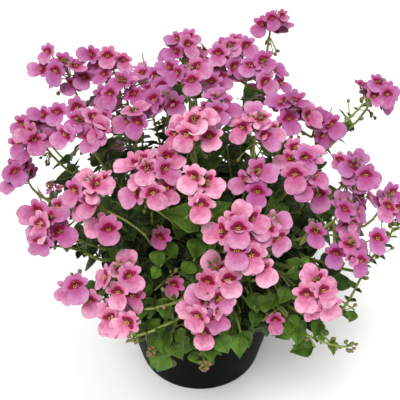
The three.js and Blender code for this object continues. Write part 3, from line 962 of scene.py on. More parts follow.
extraLeaves, innerShoots = layFill()
moreLeaves, moreShoots = layFrontLeaves(makeRandom(frontSet["seed"]))
youngLeaves, youngPaths, youngBuds = layYoungShoots(makeRandom(sideSet["seed"]))
extraLeaves += youngLeaves
innerShoots += moreShoots
print("layout:", len(extraLeaves), "further leaves on", len(innerShoots), "inner shoots and the branches")


# Nodes: what geometry trees and shader trees share

def addNode(tree, kind, inputs=(), **settings):
    # an input is given another node's socket, a plain value, or a colour's code
    node = tree.nodes.new(kind)
    for name, value in settings.items():
        setattr(node, name, value)
    for name, value in dict(inputs).items():
        if isinstance(value, bpy.types.NodeSocket):
            tree.links.new(value, node.inputs[name])
        elif isinstance(value, str) and value.startswith("#"):
            node.inputs[name].default_value = colour(value)
        elif value is not None:
            node.inputs[name].default_value = value
    return node


def mathNode(tree, operation, a, b=None):
    return addNode(tree, "ShaderNodeMath", {0: a, 1: b}, operation=operation).outputs[0]


def times(tree, a, b):
    return mathNode(tree, "MULTIPLY", a, b)


# Geometry Nodes trees

def newTree(name, sockets):
    tree = bpy.data.node_groups.new(name, "GeometryNodeTree")
    tree.interface.new_socket("Geometry", in_out="INPUT", socket_type="NodeSocketGeometry")
    for label, kind, value in sockets:
        socket = tree.interface.new_socket(label, in_out="INPUT", socket_type="NodeSocket" + kind)
        if value is not None:
            socket.default_value = value
    tree.interface.new_socket("Geometry", in_out="OUTPUT", socket_type="NodeSocketGeometry")
    return tree, tree.nodes.new("NodeGroupInput").outputs, tree.nodes.new("NodeGroupOutput").inputs


def namedAttribute(tree, name, kind):
    node = addNode(tree, "GeometryNodeInputNamedAttribute", {"Name": name}, data_type=kind)
    return node.outputs["Attribute"]


def randomValue(tree, kind, seed, low, high):
    # the node keeps the sockets of each kind at their own numbers
    lowEnd, highEnd, result = {"FLOAT_VECTOR": (0, 1, 0), "FLOAT": (2, 3, 1), "INT": (4, 5, 2)}[kind]
    inputs = {lowEnd: low, highEnd: high, "Seed": seed}
    return addNode(tree, "FunctionNodeRandomValue", inputs, data_type=kind).outputs[result]


def asRotation(tree, angles):
    return addNode(tree, "FunctionNodeEulerToRotation", {0: angles}).outputs[0]


def plantShape(tree, given, points, kind, turn, size):
    # one of the collection's shapes on each point
    shapes = addNode(tree, "GeometryNodeCollectionInfo", {
        "Collection": given["Shapes"], "Separate Children": True, "Reset Children": True})
    plant = addNode(tree, "GeometryNodeInstanceOnPoints", {
        "Points": points, "Instance": shapes.outputs[0], "Pick Instance": True, "Instance Index": kind,
        "Rotation": turn, "Scale": size})
    return plant.outputs[0]


def endTree(tree, geometry, given, made):
    real = addNode(tree, "GeometryNodeRealizeInstances", {0: geometry})
    smooth = addNode(tree, "GeometryNodeSetShadeSmooth", {0: real.outputs[0]})
    finish = addNode(tree, "GeometryNodeSetMaterial", {0: smooth.outputs[0], "Material": given["Finish"]})
    tree.links.new(finish.outputs[0], made[0])
    return tree


def plantingTree():
    # sets shapes of a collection on points that carry turn, size and kind
    tree, given, made = newTree("setOnStems", [
        ("Shapes", "Collection", None),
        ("Size", "Float", 1.0),
        ("Size spread", "Float", 0.05),
        ("Turn spread", "Float", 0.08),
        ("Roll spread", "Float", 0.1),
        ("Seed", "Int", 3),
        ("Finish", "Material", None),
    ])
    spreads = {0: given["Turn spread"], 1: given["Turn spread"], 2: given["Roll spread"]}
    most = addNode(tree, "ShaderNodeCombineXYZ", spreads).outputs[0]
    least = addNode(tree, "ShaderNodeVectorMath", {0: most, "Scale": -1}, operation="SCALE").outputs[0]
    spin = asRotation(tree, randomValue(tree, "FLOAT_VECTOR", given["Seed"], least, most))
    turn = asRotation(tree, namedAttribute(tree, "turn", "FLOAT_VECTOR"))
    both = addNode(tree, "FunctionNodeRotateRotation", {0: turn, 1: spin}, rotation_space="LOCAL").outputs[0]
    least = mathNode(tree, "SUBTRACT", 1, given["Size spread"])
    most = mathNode(tree, "ADD", 1, given["Size spread"])
    size = times(tree, namedAttribute(tree, "size", "FLOAT"), given["Size"])
    size = times(tree, size, randomValue(tree, "FLOAT", given["Seed"], least, most))
    kind = namedAttribute(tree, "kind", "INT")
    return endTree(tree, plantShape(tree, given, given["Geometry"], kind, both, size), given, made)


def stemTree():
    # a round stem along every curve, as thick as the curve's own radius there
    tree, given, made = newTree("sweepStems", [
        ("Thickness", "Float", 1.0),
        ("Sides", "Int", 8),
        ("Finish", "Material", None),
    ])
    ring = addNode(tree, "GeometryNodeCurvePrimitiveCircle", {"Radius": 1, "Resolution": given["Sides"]})
    radius = addNode(tree, "GeometryNodeInputRadius")
    sweep = addNode(tree, "GeometryNodeCurveToMesh", {
        "Curve": given["Geometry"], "Profile Curve": ring.outputs[0], "Fill Caps": True,
        "Scale": times(tree, radius.outputs[0], given["Thickness"])})
    return endTree(tree, sweep.outputs[0], given, made)


def crumbTree():
    # lumps of peat strewn over a surface
    tree, given, made = newTree("strewCrumbs", [
        ("Shapes", "Collection", None),
        ("Density", "Float", 20000.0),
        ("Smallest", "Float", 0.0008),
        ("Largest", "Float", 0.0026),
        ("Seed", "Int", 5),
        ("Finish", "Material", None),
    ])
    strew = addNode(tree, "GeometryNodeDistributePointsOnFaces", {
        "Mesh": given["Geometry"], "Density": given["Density"], "Seed": given["Seed"]})
    turn = asRotation(tree, randomValue(tree, "FLOAT_VECTOR", given["Seed"], None, (6.28, 6.28, 6.28)))
    kind = randomValue(tree, "INT", given["Seed"], None, 3)
    size = randomValue(tree, "FLOAT", given["Seed"], given["Smallest"], given["Largest"])
    return endTree(tree, plantShape(tree, given, strew.outputs["Points"], kind, turn, size), given, made)


def runTree(carrier, tree, values, name):
    # runs the tree on the carrier and keeps what it makes as one plain mesh
    modifier = carrier.modifiers.new("grow", "NODES")
    modifier.node_group = tree
    for item in tree.interface.items_tree:
        if item.item_type == "SOCKET" and item.in_out == "INPUT" and item.name in values:
            modifier[item.identifier] = values[item.name]
    graph = bpy.context.evaluated_depsgraph_get()
    mesh = bpy.data.meshes.new_from_object(carrier.evaluated_get(graph), depsgraph=graph)
    mesh.name = name
    carrier.modifiers.remove(modifier)
    bpy.data.objects.remove(carrier)
    for spare in ("turn", "size", "kind"):
        if spare in mesh.attributes:
            mesh.attributes.remove(mesh.attributes[spare])
    piece = newObject(name, mesh)
    mesh.update()
    print(name, "has", sum(len(p.vertices) - 2 for p in mesh.polygons), "triangles")
    return piece


# the whole plant bends a little, but nothing within "still" of the point "middle" above the floor moves;
# another shift bends it another way
swaySet = {"wave": 38.0, "reach": 4.5, "shift": 12.0, "middle": 100, "still": 60, "over": 60}


def swayed(point):
    free = clamped(((point - up * swaySet["middle"]).length - swaySet["still"]) / swaySet["over"])
    place = point / swaySet["wave"] + Vector((swaySet["shift"], 0, 0))
    lean = [noise.noise(place + Vector((0, 17 * k, 11 * k))) for k in range(3)]
    return point + Vector(lean) * (swaySet["reach"] * free)


def storeOn(mesh, name, kind, values, domain="POINT"):
    field = "vector" if kind == "FLOAT_VECTOR" else "value"
    mesh.attributes.new(name, kind, domain).data.foreach_set(field, values)


def newMesh(name, verts, faces):
    mesh = bpy.data.meshes.new(name)
    mesh.from_pydata(verts, [], faces)
    return mesh


def pointCarrier(rows):
    # a vertex for each place, with the way it turns, its size, which shape it takes and its colouring
    mesh = newMesh("places", [tuple(swayed(row["at"]) * mm) for row in rows], [])
    turns = []
    for row in rows:
        right = row["along"].cross(row["normal"])
        turns += Matrix((right, row["along"], row["normal"])).transposed().to_euler()
    storeOn(mesh, "turn", "FLOAT_VECTOR", turns)
    storeOn(mesh, "size", "FLOAT", [row["size"] * mm for row in rows])
    storeOn(mesh, "kind", "INT", [row.get("kind", 0) for row in rows])
    for name in ("tint", "depth"):
        storeOn(mesh, name, "FLOAT", [row.get(name, 0.5) for row in rows])
    return newObject("places", mesh)


def shapeCollection(name, meshes):
    collection = bpy.data.collections.new(name)
    bpy.context.scene.collection.children.link(collection)
    for k, mesh in enumerate(meshes):
        collection.objects.link(bpy.data.objects.new(f"{name}{k}", mesh))
    return collection


def dropShapes(collection):
    for shape in list(collection.objects):
        bpy.data.objects.remove(shape)
    bpy.data.collections.remove(collection)


trees = {"planting": plantingTree(), "stems": stemTree(), "crumbs": crumbTree()}


def plantShapes(name, rows, meshes, finish, **values):
    shapes = shapeCollection(name + "Shape", meshes)
    values.update({"Shapes": shapes, "Finish": finish})
    piece = runTree(pointCarrier(rows), trees["planting"], values, name)
    dropShapes(shapes)
    return piece


def sweepStems(name, paths, finish, sides):
    # paths are lists of (point, radius) in millimetres
    data = bpy.data.curves.new(name, "CURVE")
    data.dimensions = "3D"
    for path in paths:
        spline = data.splines.new("POLY")
        spline.points.add(len(path) - 1)
        for k, (point, radius) in enumerate(path):
            spline.points[k].co = (*(swayed(point) * mm), 1)
            spline.points[k].radius = radius * mm
    return runTree(newObject("paths", data), trees["stems"], {"Finish": finish, "Sides": sides}, name)


# Shader node groups

def newShaderGroup(name, given, made):
    group = bpy.data.node_groups.new(name, "ShaderNodeTree")
    for label, kind, value in given:
        socket = group.interface.new_socket(label, in_out="INPUT", socket_type="NodeSocket" + kind)
        socket.default_value = value
    for label, kind in made:
        group.interface.new_socket(label, in_out="OUTPUT", socket_type="NodeSocket" + kind)
    return group, group.nodes.new("NodeGroupInput").outputs, group.nodes.new("NodeGroupOutput").inputs


def ramp(tree, value, low, high, toLow=0, toHigh=1):
    inputs = enumerate((value, low, high, toLow, toHigh))
    return addNode(tree, "ShaderNodeMapRange", inputs, interpolation_type="SMOOTHSTEP").outputs[0]


def mixColour(tree, share, a, b):
    # sockets 6 and 7 are the two colours
    return addNode(tree, "ShaderNodeMix", {0: share, 6: a, 7: b}, data_type="RGBA").outputs[2]


def noiseAt(tree, vector, scale, detail=3, roughness=0.55):
    inputs = {"Vector": vector, "Scale": scale, "Detail": detail, "Roughness": roughness}
    return addNode(tree, "ShaderNodeTexNoise", inputs).outputs["Fac"]


def axesOf(tree, vector):
    return addNode(tree, "ShaderNodeSeparateXYZ", {0: vector}).outputs


def objectPlace(tree):
    return addNode(tree, "ShaderNodeTexCoord").outputs["Object"]


def attributeOf(tree, name, output="Fac"):
    return addNode(tree, "ShaderNodeAttribute", attribute_name=name).outputs[output]


def mottleGroup():
    # living tissue is never one flat colour: patches, and a lighter or darker plant part by its tint, which
    # on leaves and skirt flowers also carries painted shade
    group, given, made = newShaderGroup("plantMottle", [
        ("Colour", "Color", (0.5, 0.5, 0.5, 1)),
        ("Dark", "Color", (0.1, 0.1, 0.1, 1)),
        ("Tint", "Float", 0.5),
        ("Patch scale", "Float", 120.0),
        ("Patch share", "Float", 0.4),
        ("Tint share", "Float", 0.5),
    ], [("Colour", "Color")])
    patch = noiseAt(group, objectPlace(group), given["Patch scale"])
    patchShare = times(group, ramp(group, patch, 0.4, 0.7), given["Patch share"])
    tintShare = times(group, mathNode(group, "SUBTRACT", 1, given["Tint"]), given["Tint share"])
    share = mathNode(group, "ADD", patchShare, tintShare)
    group.links.new(mixColour(group, share, given["Colour"], given["Dark"]), made[0])
    return group


def grainGroup():
    # fine and coarse relief together
    group, given, made = newShaderGroup("fineGrain", [
        ("Fine scale", "Float", 1500.0),
        ("Coarse scale", "Float", 200.0),
        ("Coarse share", "Float", 0.5),
    ], [("Height", "Float")])
    place = objectPlace(group)
    fine = noiseAt(group, place, given["Fine scale"], 2)
    coarse = times(group, noiseAt(group, place, given["Coarse scale"], 3), given["Coarse share"])
    group.links.new(mathNode(group, "ADD", fine, coarse), made[0])
    return group


def spotGroup():
    # a soft oval mark on a petal
    group, given, made = newShaderGroup("petalSpot", [
        ("Place", "Vector", (0, 0, 0)),
        ("Middle X", "Float", 0.0),
        ("Middle Y", "Float", 0.0),
        ("Width", "Float", 0.2),
        ("Height", "Float", 0.2),
        ("Softness", "Float", 0.5),
    ], [("Mask", "Float")])
    parts = axesOf(group, given["Place"])
    squares = []
    for axis, middle, reach in ((0, "Middle X", "Width"), (1, "Middle Y", "Height")):
        offset = mathNode(group, "SUBTRACT", parts[axis], given[middle])
        share = mathNode(group, "DIVIDE", offset, given[reach])
        squares.append(times(group, share, share))
    distance = mathNode(group, "SQRT", mathNode(group, "ADD", *squares))
    edge = mathNode(group, "SUBTRACT", 1, given["Softness"])
    group.links.new(mathNode(group, "SUBTRACT", 1, ramp(group, distance, edge, 1.0)), made[0])
    return group


groups = {"mottle": mottleGroup(), "grain": grainGroup(), "spot": spotGroup()}


def useGroup(tree, group, **values):
    inputs = {label.replace("_", " "): value for label, value in values.items()}
    return addNode(tree, "ShaderNodeGroup", inputs.items(), node_tree=groups[group]).outputs[0]


def newFinish(name, roughness, **shader):
    material = bpy.data.materials.new(name)
    material.use_nodes = True
    principled = material.node_tree.nodes["Principled BSDF"]
    principled.inputs["Roughness"].default_value = roughness
    for label, value in shader.items():
        principled.inputs[label.replace("_", " ")].default_value = value
    return material, material.node_tree, principled.inputs


def finishWith(tree, shader, base, roughness, height, strength, distance):
    # the colour, the roughness and the relief, which every finish of the plant and the pot has
    bump = addNode(tree, "ShaderNodeBump", {"Strength": strength, "Distance": distance, "Height": height})
    for name, value in (("Base Color", base), ("Roughness", roughness), ("Normal", bump.outputs[0])):
        tree.links.new(value, shader[name])


# Pot

potSizes = {
    "height": 120, "baseRadius": 52, "rimRadius": 75, "wall": 2.2, "floor": 3, "chamfer": 1.5, "lipHeight": 9,
    "lipReach": 1.3, "sides": 112, "drainRadius": 3.5, "drainRing": 34, "drains": 4, "smoothAngle": 35,
    "roundings": (0, 0.8, 0.5, 0.45, 0.45, 0.45, 0.6, 2), "colour": "#040503", "scuff": "#0c0d0a",
}


def potRadius(z):
    return potSizes["baseRadius"] + (potSizes["rimRadius"] - potSizes["baseRadius"]) * z / potSizes["height"]


def roundCorner(profile, corner, radius, steps=4):
    # swaps one corner of the profile for a short arc
    before, at, after = (Vector(profile[(corner + k) % len(profile)]) for k in (-1, 0, 1))
    start = at + (before - at).normalized() * radius
    end = at + (after - at).normalized() * radius
    shares = [k / steps for k in range(steps + 1)]
    return [tuple(start * (1 - t) ** 2 + at * (2 * t * (1 - t)) + end * t * t) for t in shares]


def potProfile():
    # from the underside up the outer wall, over the rim and down the inner wall
    s = potSizes
    lipBottom = s["height"] - s["lipHeight"]
    corners = [
        (s["baseRadius"] - s["chamfer"], 0),
        (potRadius(s["chamfer"]), s["chamfer"]),
        (potRadius(lipBottom), lipBottom),
        (potRadius(lipBottom) + s["lipReach"], lipBottom + 1),
        (s["rimRadius"] + s["lipReach"], s["height"] - 1),
        (s["rimRadius"] + s["lipReach"] - 1, s["height"]),
        (s["rimRadius"] - s["wall"], s["height"]),
        (potRadius(s["floor"]) - s["wall"], s["floor"]),
    ]
    profile = []
    for k, rounding in enumerate(s["roundings"]):
        profile += roundCorner(corners, k, rounding) if rounding else [corners[k]]
    return profile


def ringPoints(radius, count, z, stretch=1):
    turns = [2 * math.pi * k / count for k in range(count)]
    return [(radius * math.cos(turn), radius * math.sin(turn) * stretch, z) for turn in turns]


def closeRings(faces, first, last, sides, bottom, top):
    # the faces from ring to ring, the first vertices of the end rings being first and last, and the fans that
    # close them at the points bottom and top
    for k in range(sides):
        n = (k + 1) % sides
        faces.append((bottom, first + n, first + k))
        for a in range(first, last, sides):
            faces.append((a + k, a + n, a + sides + n, a + sides + k))
        faces.append((last + k, last + n, top))


def makePot(finish):
    s = potSizes
    sides = s["sides"]
    profile = potProfile()
    verts = [vert for r, z in profile for vert in ringPoints(r * mm, sides, z * mm)]
    verts += [(0, 0, 0), (0, 0, s["floor"] * mm)]
    faces = []
    closeRings(faces, 0, (len(profile) - 1) * sides, sides, len(verts) - 2, len(verts) - 1)
    mesh = newMesh("nurseryPot", verts, faces)
    mesh.materials.append(finish)
    pot = newObject("nurseryPot", mesh)
    cutters = []
    for place in ringPoints(s["drainRing"] * mm, s["drains"], 0):
        radius = s["drainRadius"] * mm
        bpy.ops.mesh.primitive_cylinder_add(vertices=24, radius=radius, depth=0.02, location=place)
        cutters.append(bpy.context.object)
        cut = pot.modifiers.new("drain", "BOOLEAN")
        cut.operation = "DIFFERENCE"
        cut.object = cutters[-1]
    graph = bpy.context.evaluated_depsgraph_get()
    holed = bpy.data.meshes.new_from_object(pot.evaluated_get(graph), depsgraph=graph)
    pot.modifiers.clear()
    pot.data = holed
    for cutter in cutters:
        bpy.data.objects.remove(cutter)
    holed.shade_smooth()
    holed.set_sharp_from_angle(angle=math.radians(s["smoothAngle"]))
    return pot


def potFinish():
    material, tree, shader = newFinish("blackMouldedPlastic", 0.5, Specular_IOR_Level=0.015)
    place = objectPlace(tree)
    dust = ramp(tree, noiseAt(tree, place, 60, 5, 0.65), 0.52, 0.78)
    lowDust = times(tree, dust, ramp(tree, axesOf(tree, place)[2], 0.09, 0.0, 0.25, 0.9))
    base = mixColour(tree, lowDust, potSizes["colour"], potSizes["scuff"])
    rough = mathNode(tree, "ADD", times(tree, noiseAt(tree, place, 300, 4), 0.22), 0.34)
    grain = useGroup(tree, "grain", Fine_scale=1800.0, Coarse_scale=240.0, Coarse_share=0.6)
    finishWith(tree, shader, base, rough, grain, 0.35, 0.0003)
    return material


pot = makePot(potFinish())
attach(pot, "root")
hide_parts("pot")
print("pot turned")


# Potting mix

mixLook = {"dark": "#1d130c", "light": "#4a3524", "crumb": "#5a4230", "crumbDensity": 70000.0,
           "smallest": 0.0006, "largest": 0.0021, "grains": 420, "kinds": 4, "radius": 69, "sides": 48}


def mixFinish(name, light):
    material, tree, shader = newFinish(name, 0.95, Specular_IOR_Level=0.2)
    place = objectPlace(tree)
    grains = addNode(tree, "ShaderNodeTexVoronoi", {"Vector": place, "Scale": mixLook["grains"]}).outputs
    grain = addNode(tree, "ShaderNodeSeparateColor", {0: grains["Color"]}).outputs
    share = times(tree, grain[0], ramp(tree, noiseAt(tree, place, 90), 0.35, 0.7, 0.3, 1))
    base = mixColour(tree, share, mixLook["dark"], light)
    rough = ramp(tree, grain[1], 0, 1, 0.8, 1)
    relief = useGroup(tree, "grain", Fine_scale=900.0, Coarse_scale=260.0, Coarse_share=1.0)
    height = mathNode(tree, "ADD", relief, grains["Distance"])
    finishWith(tree, shader, base, rough, height, 0.9, 0.0012)
    return material


def crumbShape(seed):
    # an icosahedron, with its corners pushed in and out
    golden = (1 + math.sqrt(5)) / 2
    corners = [(0, s, t * golden) for s in (-1, 1) for t in (-1, 1)]
    corners = [Vector(c) for c in corners] + [Vector((c[1], c[2], c[0])) for c in corners]
    corners += [Vector((c.z, c.x, c.y)) for c in corners[:4]]
    shift = Vector((seed * 9, 0, 0))
    verts = [tuple(c.normalized() * (0.75 + 0.5 * noise.noise(c * 1.7 + shift))) for c in corners]
    faces = []
    for a, b, c in combinations(range(12), 3):
        first, second, third = (corners[k] for k in (a, b, c))
        if max((first - second).length, (second - third).length, (first - third).length) < 2.1:
            outside = (second - first).cross(third - first).dot(first) > 0
            faces.append((a, b, c) if outside else (a, c, b))
    return newMesh("crumb", verts, faces)


def strewMix():
    # the crumbs lie on a flat disc just inside the pot, at the top of the mix
    sides = mixLook["sides"]
    ring = ringPoints(mixLook["radius"] * mm, sides, layout["mixTop"] * mm)
    carrier = newObject("mixTop", newMesh("mixTop", ring, [tuple(range(sides))]))
    shapes = shapeCollection("crumbShape", [crumbShape(k) for k in range(mixLook["kinds"])])
    crumbs = runTree(carrier, trees["crumbs"], {
        "Shapes": shapes, "Density": mixLook["crumbDensity"], "Smallest": mixLook["smallest"],
        "Largest": mixLook["largest"], "Finish": mixFinish("peatCrumb", mixLook["crumb"])}, "mixCrumbs")
    dropShapes(shapes)
    return crumbs


mixNode = frame["nodes"]["potting_mix"]
mixNode.data.materials.clear()
mixNode.data.materials.append(mixFinish("peat", mixLook["light"]))
crumbs = strewMix()
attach(crumbs, "root")
print("potting mix strewn")


# Stems

stemLook = {"green": "#7f8f3e", "dark": "#5a5a2c", "stalk": "#8c9448", "stalkDark": "#8a4a4a",
            "streak": "#a6b060", "sides": 7, "stalkSides": 5, "trunkLevels": (95.6, 104, 112, 119, 123),
            "trunkEnd": 0.9}
# the radii in millimetres at the lower and the upper end of each kind of stem and stalk
stemRadii = {"trunk": (2.4, 1.7), "flowers": (1.25, 0.85), "shoot": (1.25, 0.7), "inner": (1.05, 0.55),
             "tip": (0.85, 0.45), "link": (0.9, 0.85), "flower": (0.42, 0.5), "spent": (0.36, 0.32)}
# where things begin along a head's axis, in millimetres from its middle, and how far the stalks bend
stalkSet = {"tip": (-4.5, 16), "flowers": (0.5, 0.7), "spent": -2, "linkBend": -3, "bend": -0.12,
            "spentBend": 1.5, "behindFlower": 2.4}


def stemFinish(name, base, dark):
    material, tree, shader = newFinish(name, 0.5, Specular_IOR_Level=0.4)
    streak = addNode(tree, "ShaderNodeMapping", {"Vector": objectPlace(tree), "Scale": (1, 1, 0.12)})
    lines = ramp(tree, noiseAt(tree, streak.outputs[0], 900, 2), 0.4, 0.65)
    body = useGroup(tree, "mottle", Colour=base, Dark=dark, Tint=0.7, Patch_scale=60.0, Patch_share=0.6,
                    Tint_share=0.3)
    body = mixColour(tree, times(tree, lines, 0.35), body, stemLook["streak"])
    finishWith(tree, shader, body, ramp(tree, lines, 0, 1, 0.42, 0.6), lines, 0.3, 0.0002)
    return material


def stemPaths():
    paths = list(youngPaths)
    for index in range(layout["stemCount"]):
        top = stemTop(index)
        trunk = [Vector((top.x, top.y, z)) for z in stemLook["trunkLevels"]]
        paths.append(taperedPath(trunk, *stemRadii["trunk"]))
        paths[-1][-1] = (trunk[-1], stemLook["trunkEnd"])
    for branch in branches:
        radii = stemRadii["flowers" if branch["flowers"] else "shoot"]
        paths.append(taperedPath(evenPoints(branch["controls"], 14), *radii))
    return paths + [taperedPath(evenPoints(controls, 10), *stemRadii["inner"]) for controls in innerShoots]


def headStalks(head, first):
    # the tip of a head with its buds, its link to the first head of the spray, and the stalk of every flower
    middle, axis = head["centre"], head["axis"]
    start, tip = (middle + axis * along for along in stalkSet["tip"])
    paths = [taperedPath([start.lerp(tip, k / 4) for k in range(5)], *stemRadii["tip"])]
    if head is not first:
        begin = first["centre"]
        bend = begin.lerp(middle, 0.5) + up * stalkSet["linkBend"]
        points = evenPoints([begin, begin.lerp(bend, 0.6), bend, start], 6)
        paths.append(taperedPath(points, *stemRadii["link"]))
    lowest, step = stalkSet["flowers"]
    for k, row in enumerate(head["rows"]):
        low = middle + axis * (lowest + step * k)
        end = row["at"] - row["normal"] * stalkSet["behindFlower"]
        bend = low.lerp(end, 0.45) + (end - low).cross(axis).cross(axis) * stalkSet["bend"]
        points = evenPoints([low, low.lerp(bend, 0.7), bend, end], 5)
        paths.append(taperedPath(points, *stemRadii["flower"]))
    for row in head["spent"]:
        low = middle + axis * stalkSet["spent"]
        bend = low.lerp(row["at"], 0.6) + axis * stalkSet["spentBend"]
        points = evenPoints([low, low.lerp(bend, 0.6), bend, row["at"]], 4)
        paths.append(taperedPath(points, *stemRadii["spent"]))
    return paths


def stalkPaths():
    return [path for spray in sprays for head in spray for path in headStalks(head, spray[0])]


stemGreen = stemFinish("greenStem", stemLook["green"], stemLook["dark"])
stalkGreen = stemFinish("flowerStalk", stemLook["stalk"], stemLook["stalkDark"])
stems = sweepStems("stems", stemPaths(), stemGreen, stemLook["sides"])
stalks = sweepStems("flowerStalks", stalkPaths(), stalkGreen, stemLook["stalkSides"])
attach(stems, "root")
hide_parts(*[f"leafy_stem_{k + 1:02d}" for k in range(layout["stemCount"])])
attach(stalks, "root")
print("stems swept")


# Leaves

leafLook = {
    "widthShare": 0.74,
    "size": 0.86,
    "green": "#668f26",
    "dark": "#091305",
    "vein": "#7c9f42",
    "under": "#5f8240",
    "foldShade": 0.26,
    "rootShade": 0.65,
    "veinCount": 40,
    "thickness": 0.022,
    "tooth": 0.045,
    "wave": 0.03,
}
# share of the length, share of the half width
leafRows = [(0.08, 0.08), (0.13, 0.48), (0.2, 0.82), (0.3, 1.0), (0.42, 0.97), (0.57, 0.78), (0.73, 0.49),
            (0.88, 0.2)]
coarseRows = [(0.1, 0.3), (0.24, 0.94), (0.46, 0.97), (0.72, 0.64), (0.9, 0.26)]
leafColumns = (-1, -0.55, 0, 0.55, 1)
coarseColumns = (-1, 0, 1)
# how much each kind of leaf arches, cups and twists
leafBends = [(0.4, 0.16, 0), (0.6, 0.1, 0.09), (0.3, 0.2, -0.09), (0.8, 0.14, 0.04)]
coarseBends = [(0.22, 0.1, 0), (0.4, 0.08, 0), (0.1, 0.14, 0), (0.55, 0.06, 0)]


def markRim(mesh, rim):
    # keeps the thin edge of a petal or leaf from rounding its shading
    rim = set(rim)
    sharp = [edge.vertices[0] in rim and edge.vertices[1] in rim for edge in mesh.edges]
    storeOn(mesh, "sharp_edge", "BOOLEAN", sharp, "EDGE")


def leafShape(name, rows, columns, seed, bends):
    # a closed blade: its upper and lower faces share their edge, with a short stalk at the root
    wide = leafLook["widthShare"] / 2
    arch, cup, twist = bends
    verts, tags, faces = [], [], []

    def add(t, s, width, side):
        toothed = abs(s) == 1 and 0.15 < t < 0.95
        tooth = leafLook["tooth"] * (1 if len(verts) % 2 else -1) if toothed else 0
        wave = leafLook["wave"] * noise.noise(Vector((t * 4 + seed * 7, s * 2, seed)))
        x = s * width * wide * (1 + tooth)
        z = cup * abs(s) ** 1.4 * width * (1 - 0.3 * t) - arch * max(0, t - 0.3) ** 2
        z += twist * s * t * width + wave
        z += 0.012 * math.cos(t * 30) * (abs(s) ** 0.5) * width
        verts.append((x, t, z - (leafLook["thickness"] * (1 - abs(s) ** 2) if side else 0)))
        tags.append((s, t, float(side) if abs(s) < 1 else 0.5))
        return len(verts) - 1

    root = add(0, 0, 0, 0)
    bands = []
    for t, width in rows:
        upper = [add(t, s, width, 0) for s in columns]
        lower = [upper[0]] + [add(t, s, width, 1) for s in columns[1:-1]] + [upper[-1]]
        bands.append((upper, lower))
    tip = add(1, 0, 0, 0)
    first, last = bands[0], bands[-1]
    for k in range(len(columns) - 1):
        faces.append((root, first[0][k + 1], first[0][k]))
        faces.append((root, first[1][k], first[1][k + 1]))
        faces.append((tip, last[0][k], last[0][k + 1]))
        faces.append((tip, last[1][k + 1], last[1][k]))
        for (upper, lower), (nextUpper, nextLower) in zip(bands, bands[1:]):
            faces.append((upper[k], upper[k + 1], nextUpper[k + 1], nextUpper[k]))
            faces.append((lower[k], nextLower[k], nextLower[k + 1], lower[k + 1]))
    mesh = newMesh(name, verts, faces)
    storeOn(mesh, "leafPlace", "FLOAT_VECTOR", [v for t in tags for v in t])
    middle = len(columns) // 2
    markRim(mesh, [root, tip] + [upper[k] for upper, _ in bands for k in (0, middle, -1)])
    return mesh


def leafFinish():
    material, tree, shader = newFinish("twinspurLeaf", 0.45, Specular_IOR_Level=0.22)
    across, along, side = axesOf(tree, attributeOf(tree, "leafPlace", "Vector"))
    x = mathNode(tree, "ABSOLUTE", across)
    middle = mathNode(tree, "SUBTRACT", 1, ramp(tree, x, 0.02, 0.09))
    slant = mathNode(tree, "SUBTRACT", along, times(tree, x, 0.3))
    bend = times(tree, noiseAt(tree, objectPlace(tree), 220), 6)
    wave = mathNode(tree, "SINE", mathNode(tree, "ADD", times(tree, slant, leafLook["veinCount"]), bend))
    sideVeins = times(tree, ramp(tree, wave, 0.75, 1.0), ramp(tree, x, 0.9, 0.4))
    veins = mathNode(tree, "MAXIMUM", middle, times(tree, sideVeins, 0.35))
    # the tint darkens a leaf toward the dark colour: random tone, and painted shade deep in the bush
    body = useGroup(tree, "mottle", Colour=leafLook["green"], Dark=leafLook["dark"],
                    Tint=attributeOf(tree, "tint"), Patch_scale=160.0, Patch_share=0.35, Tint_share=0.85)
    # the margin is paler: partly the leaf's own pale edge, partly painted highlight
    paleEdgeAndHighlight = ramp(tree, x, 0.84, 1.0, 0, 0.8)
    pale = times(tree, mathNode(tree, "MAXIMUM", veins, paleEdgeAndHighlight), 0.34)
    # painted shade on one half of the fold and toward the root
    fold = ramp(tree, across, -0.04, 0.04, leafLook["foldShade"], 0)
    low = ramp(tree, along, 0, 0.5, leafLook["rootShade"], 0)
    body = mixColour(tree, mathNode(tree, "MAXIMUM", fold, low), body, leafLook["dark"])
    veined = mixColour(tree, pale, body, leafLook["vein"])
    under = mixColour(tree, 0.6, veined, leafLook["under"])
    base = mixColour(tree, ramp(tree, side, 0.3, 0.7), veined, under)
    grain = useGroup(tree, "grain", Fine_scale=900.0, Coarse_scale=300.0, Coarse_share=0.8)
    height = mathNode(tree, "SUBTRACT", grain, veins)
    finishWith(tree, shader, base, ramp(tree, side, 0, 1, 0.3, 0.7), height, 0.8, 0.001)
    return material


# painted shade: leaves are darker within the bush; mm from the crown where they begin to be lighter, and mm
# over the rim where they hang free
leafShade = {"from": 72, "over": 62, "rim": 76, "rimOver": 10, "rimBelow": 120, "part": (21, 0.35, 1),
             "extra": (22, 0.1, 0.95), "frontTint": 0.38, "lowTint": 0.5, "lowBelow": 128, "frontSize": 1.15}


def dressLeaves(rows, seed, low, high):
    random = makeRandom(seed)
    for row in rows:
        row["kind"] = int(next(random) * 4) % 4
        # painted shade: dark within the bush, and light again where leaves hang outside the rim
        outer = clamped(((row["at"] - crown).length - leafShade["from"]) / leafShade["over"]) ** 1.3
        if row["at"].z < leafShade["rimBelow"]:
            radius = Vector((row["at"].x, row["at"].y)).length
            outer = max(outer, clamped((radius - leafShade["rim"]) / leafShade["rimOver"]))
        row["tint"] = (low + (high - low) * next(random) ** 1.4) * outer
        # leaves at the front are drawn lighter, with less of the painted shade
        if "front" in row:
            least = leafShade["lowTint" if row["at"].z < leafShade["lowBelow"] else "frontTint"]
            row["tint"] = draw(random, least, 0.5)
            row["size"] *= leafShade["frontSize"]
    return rows


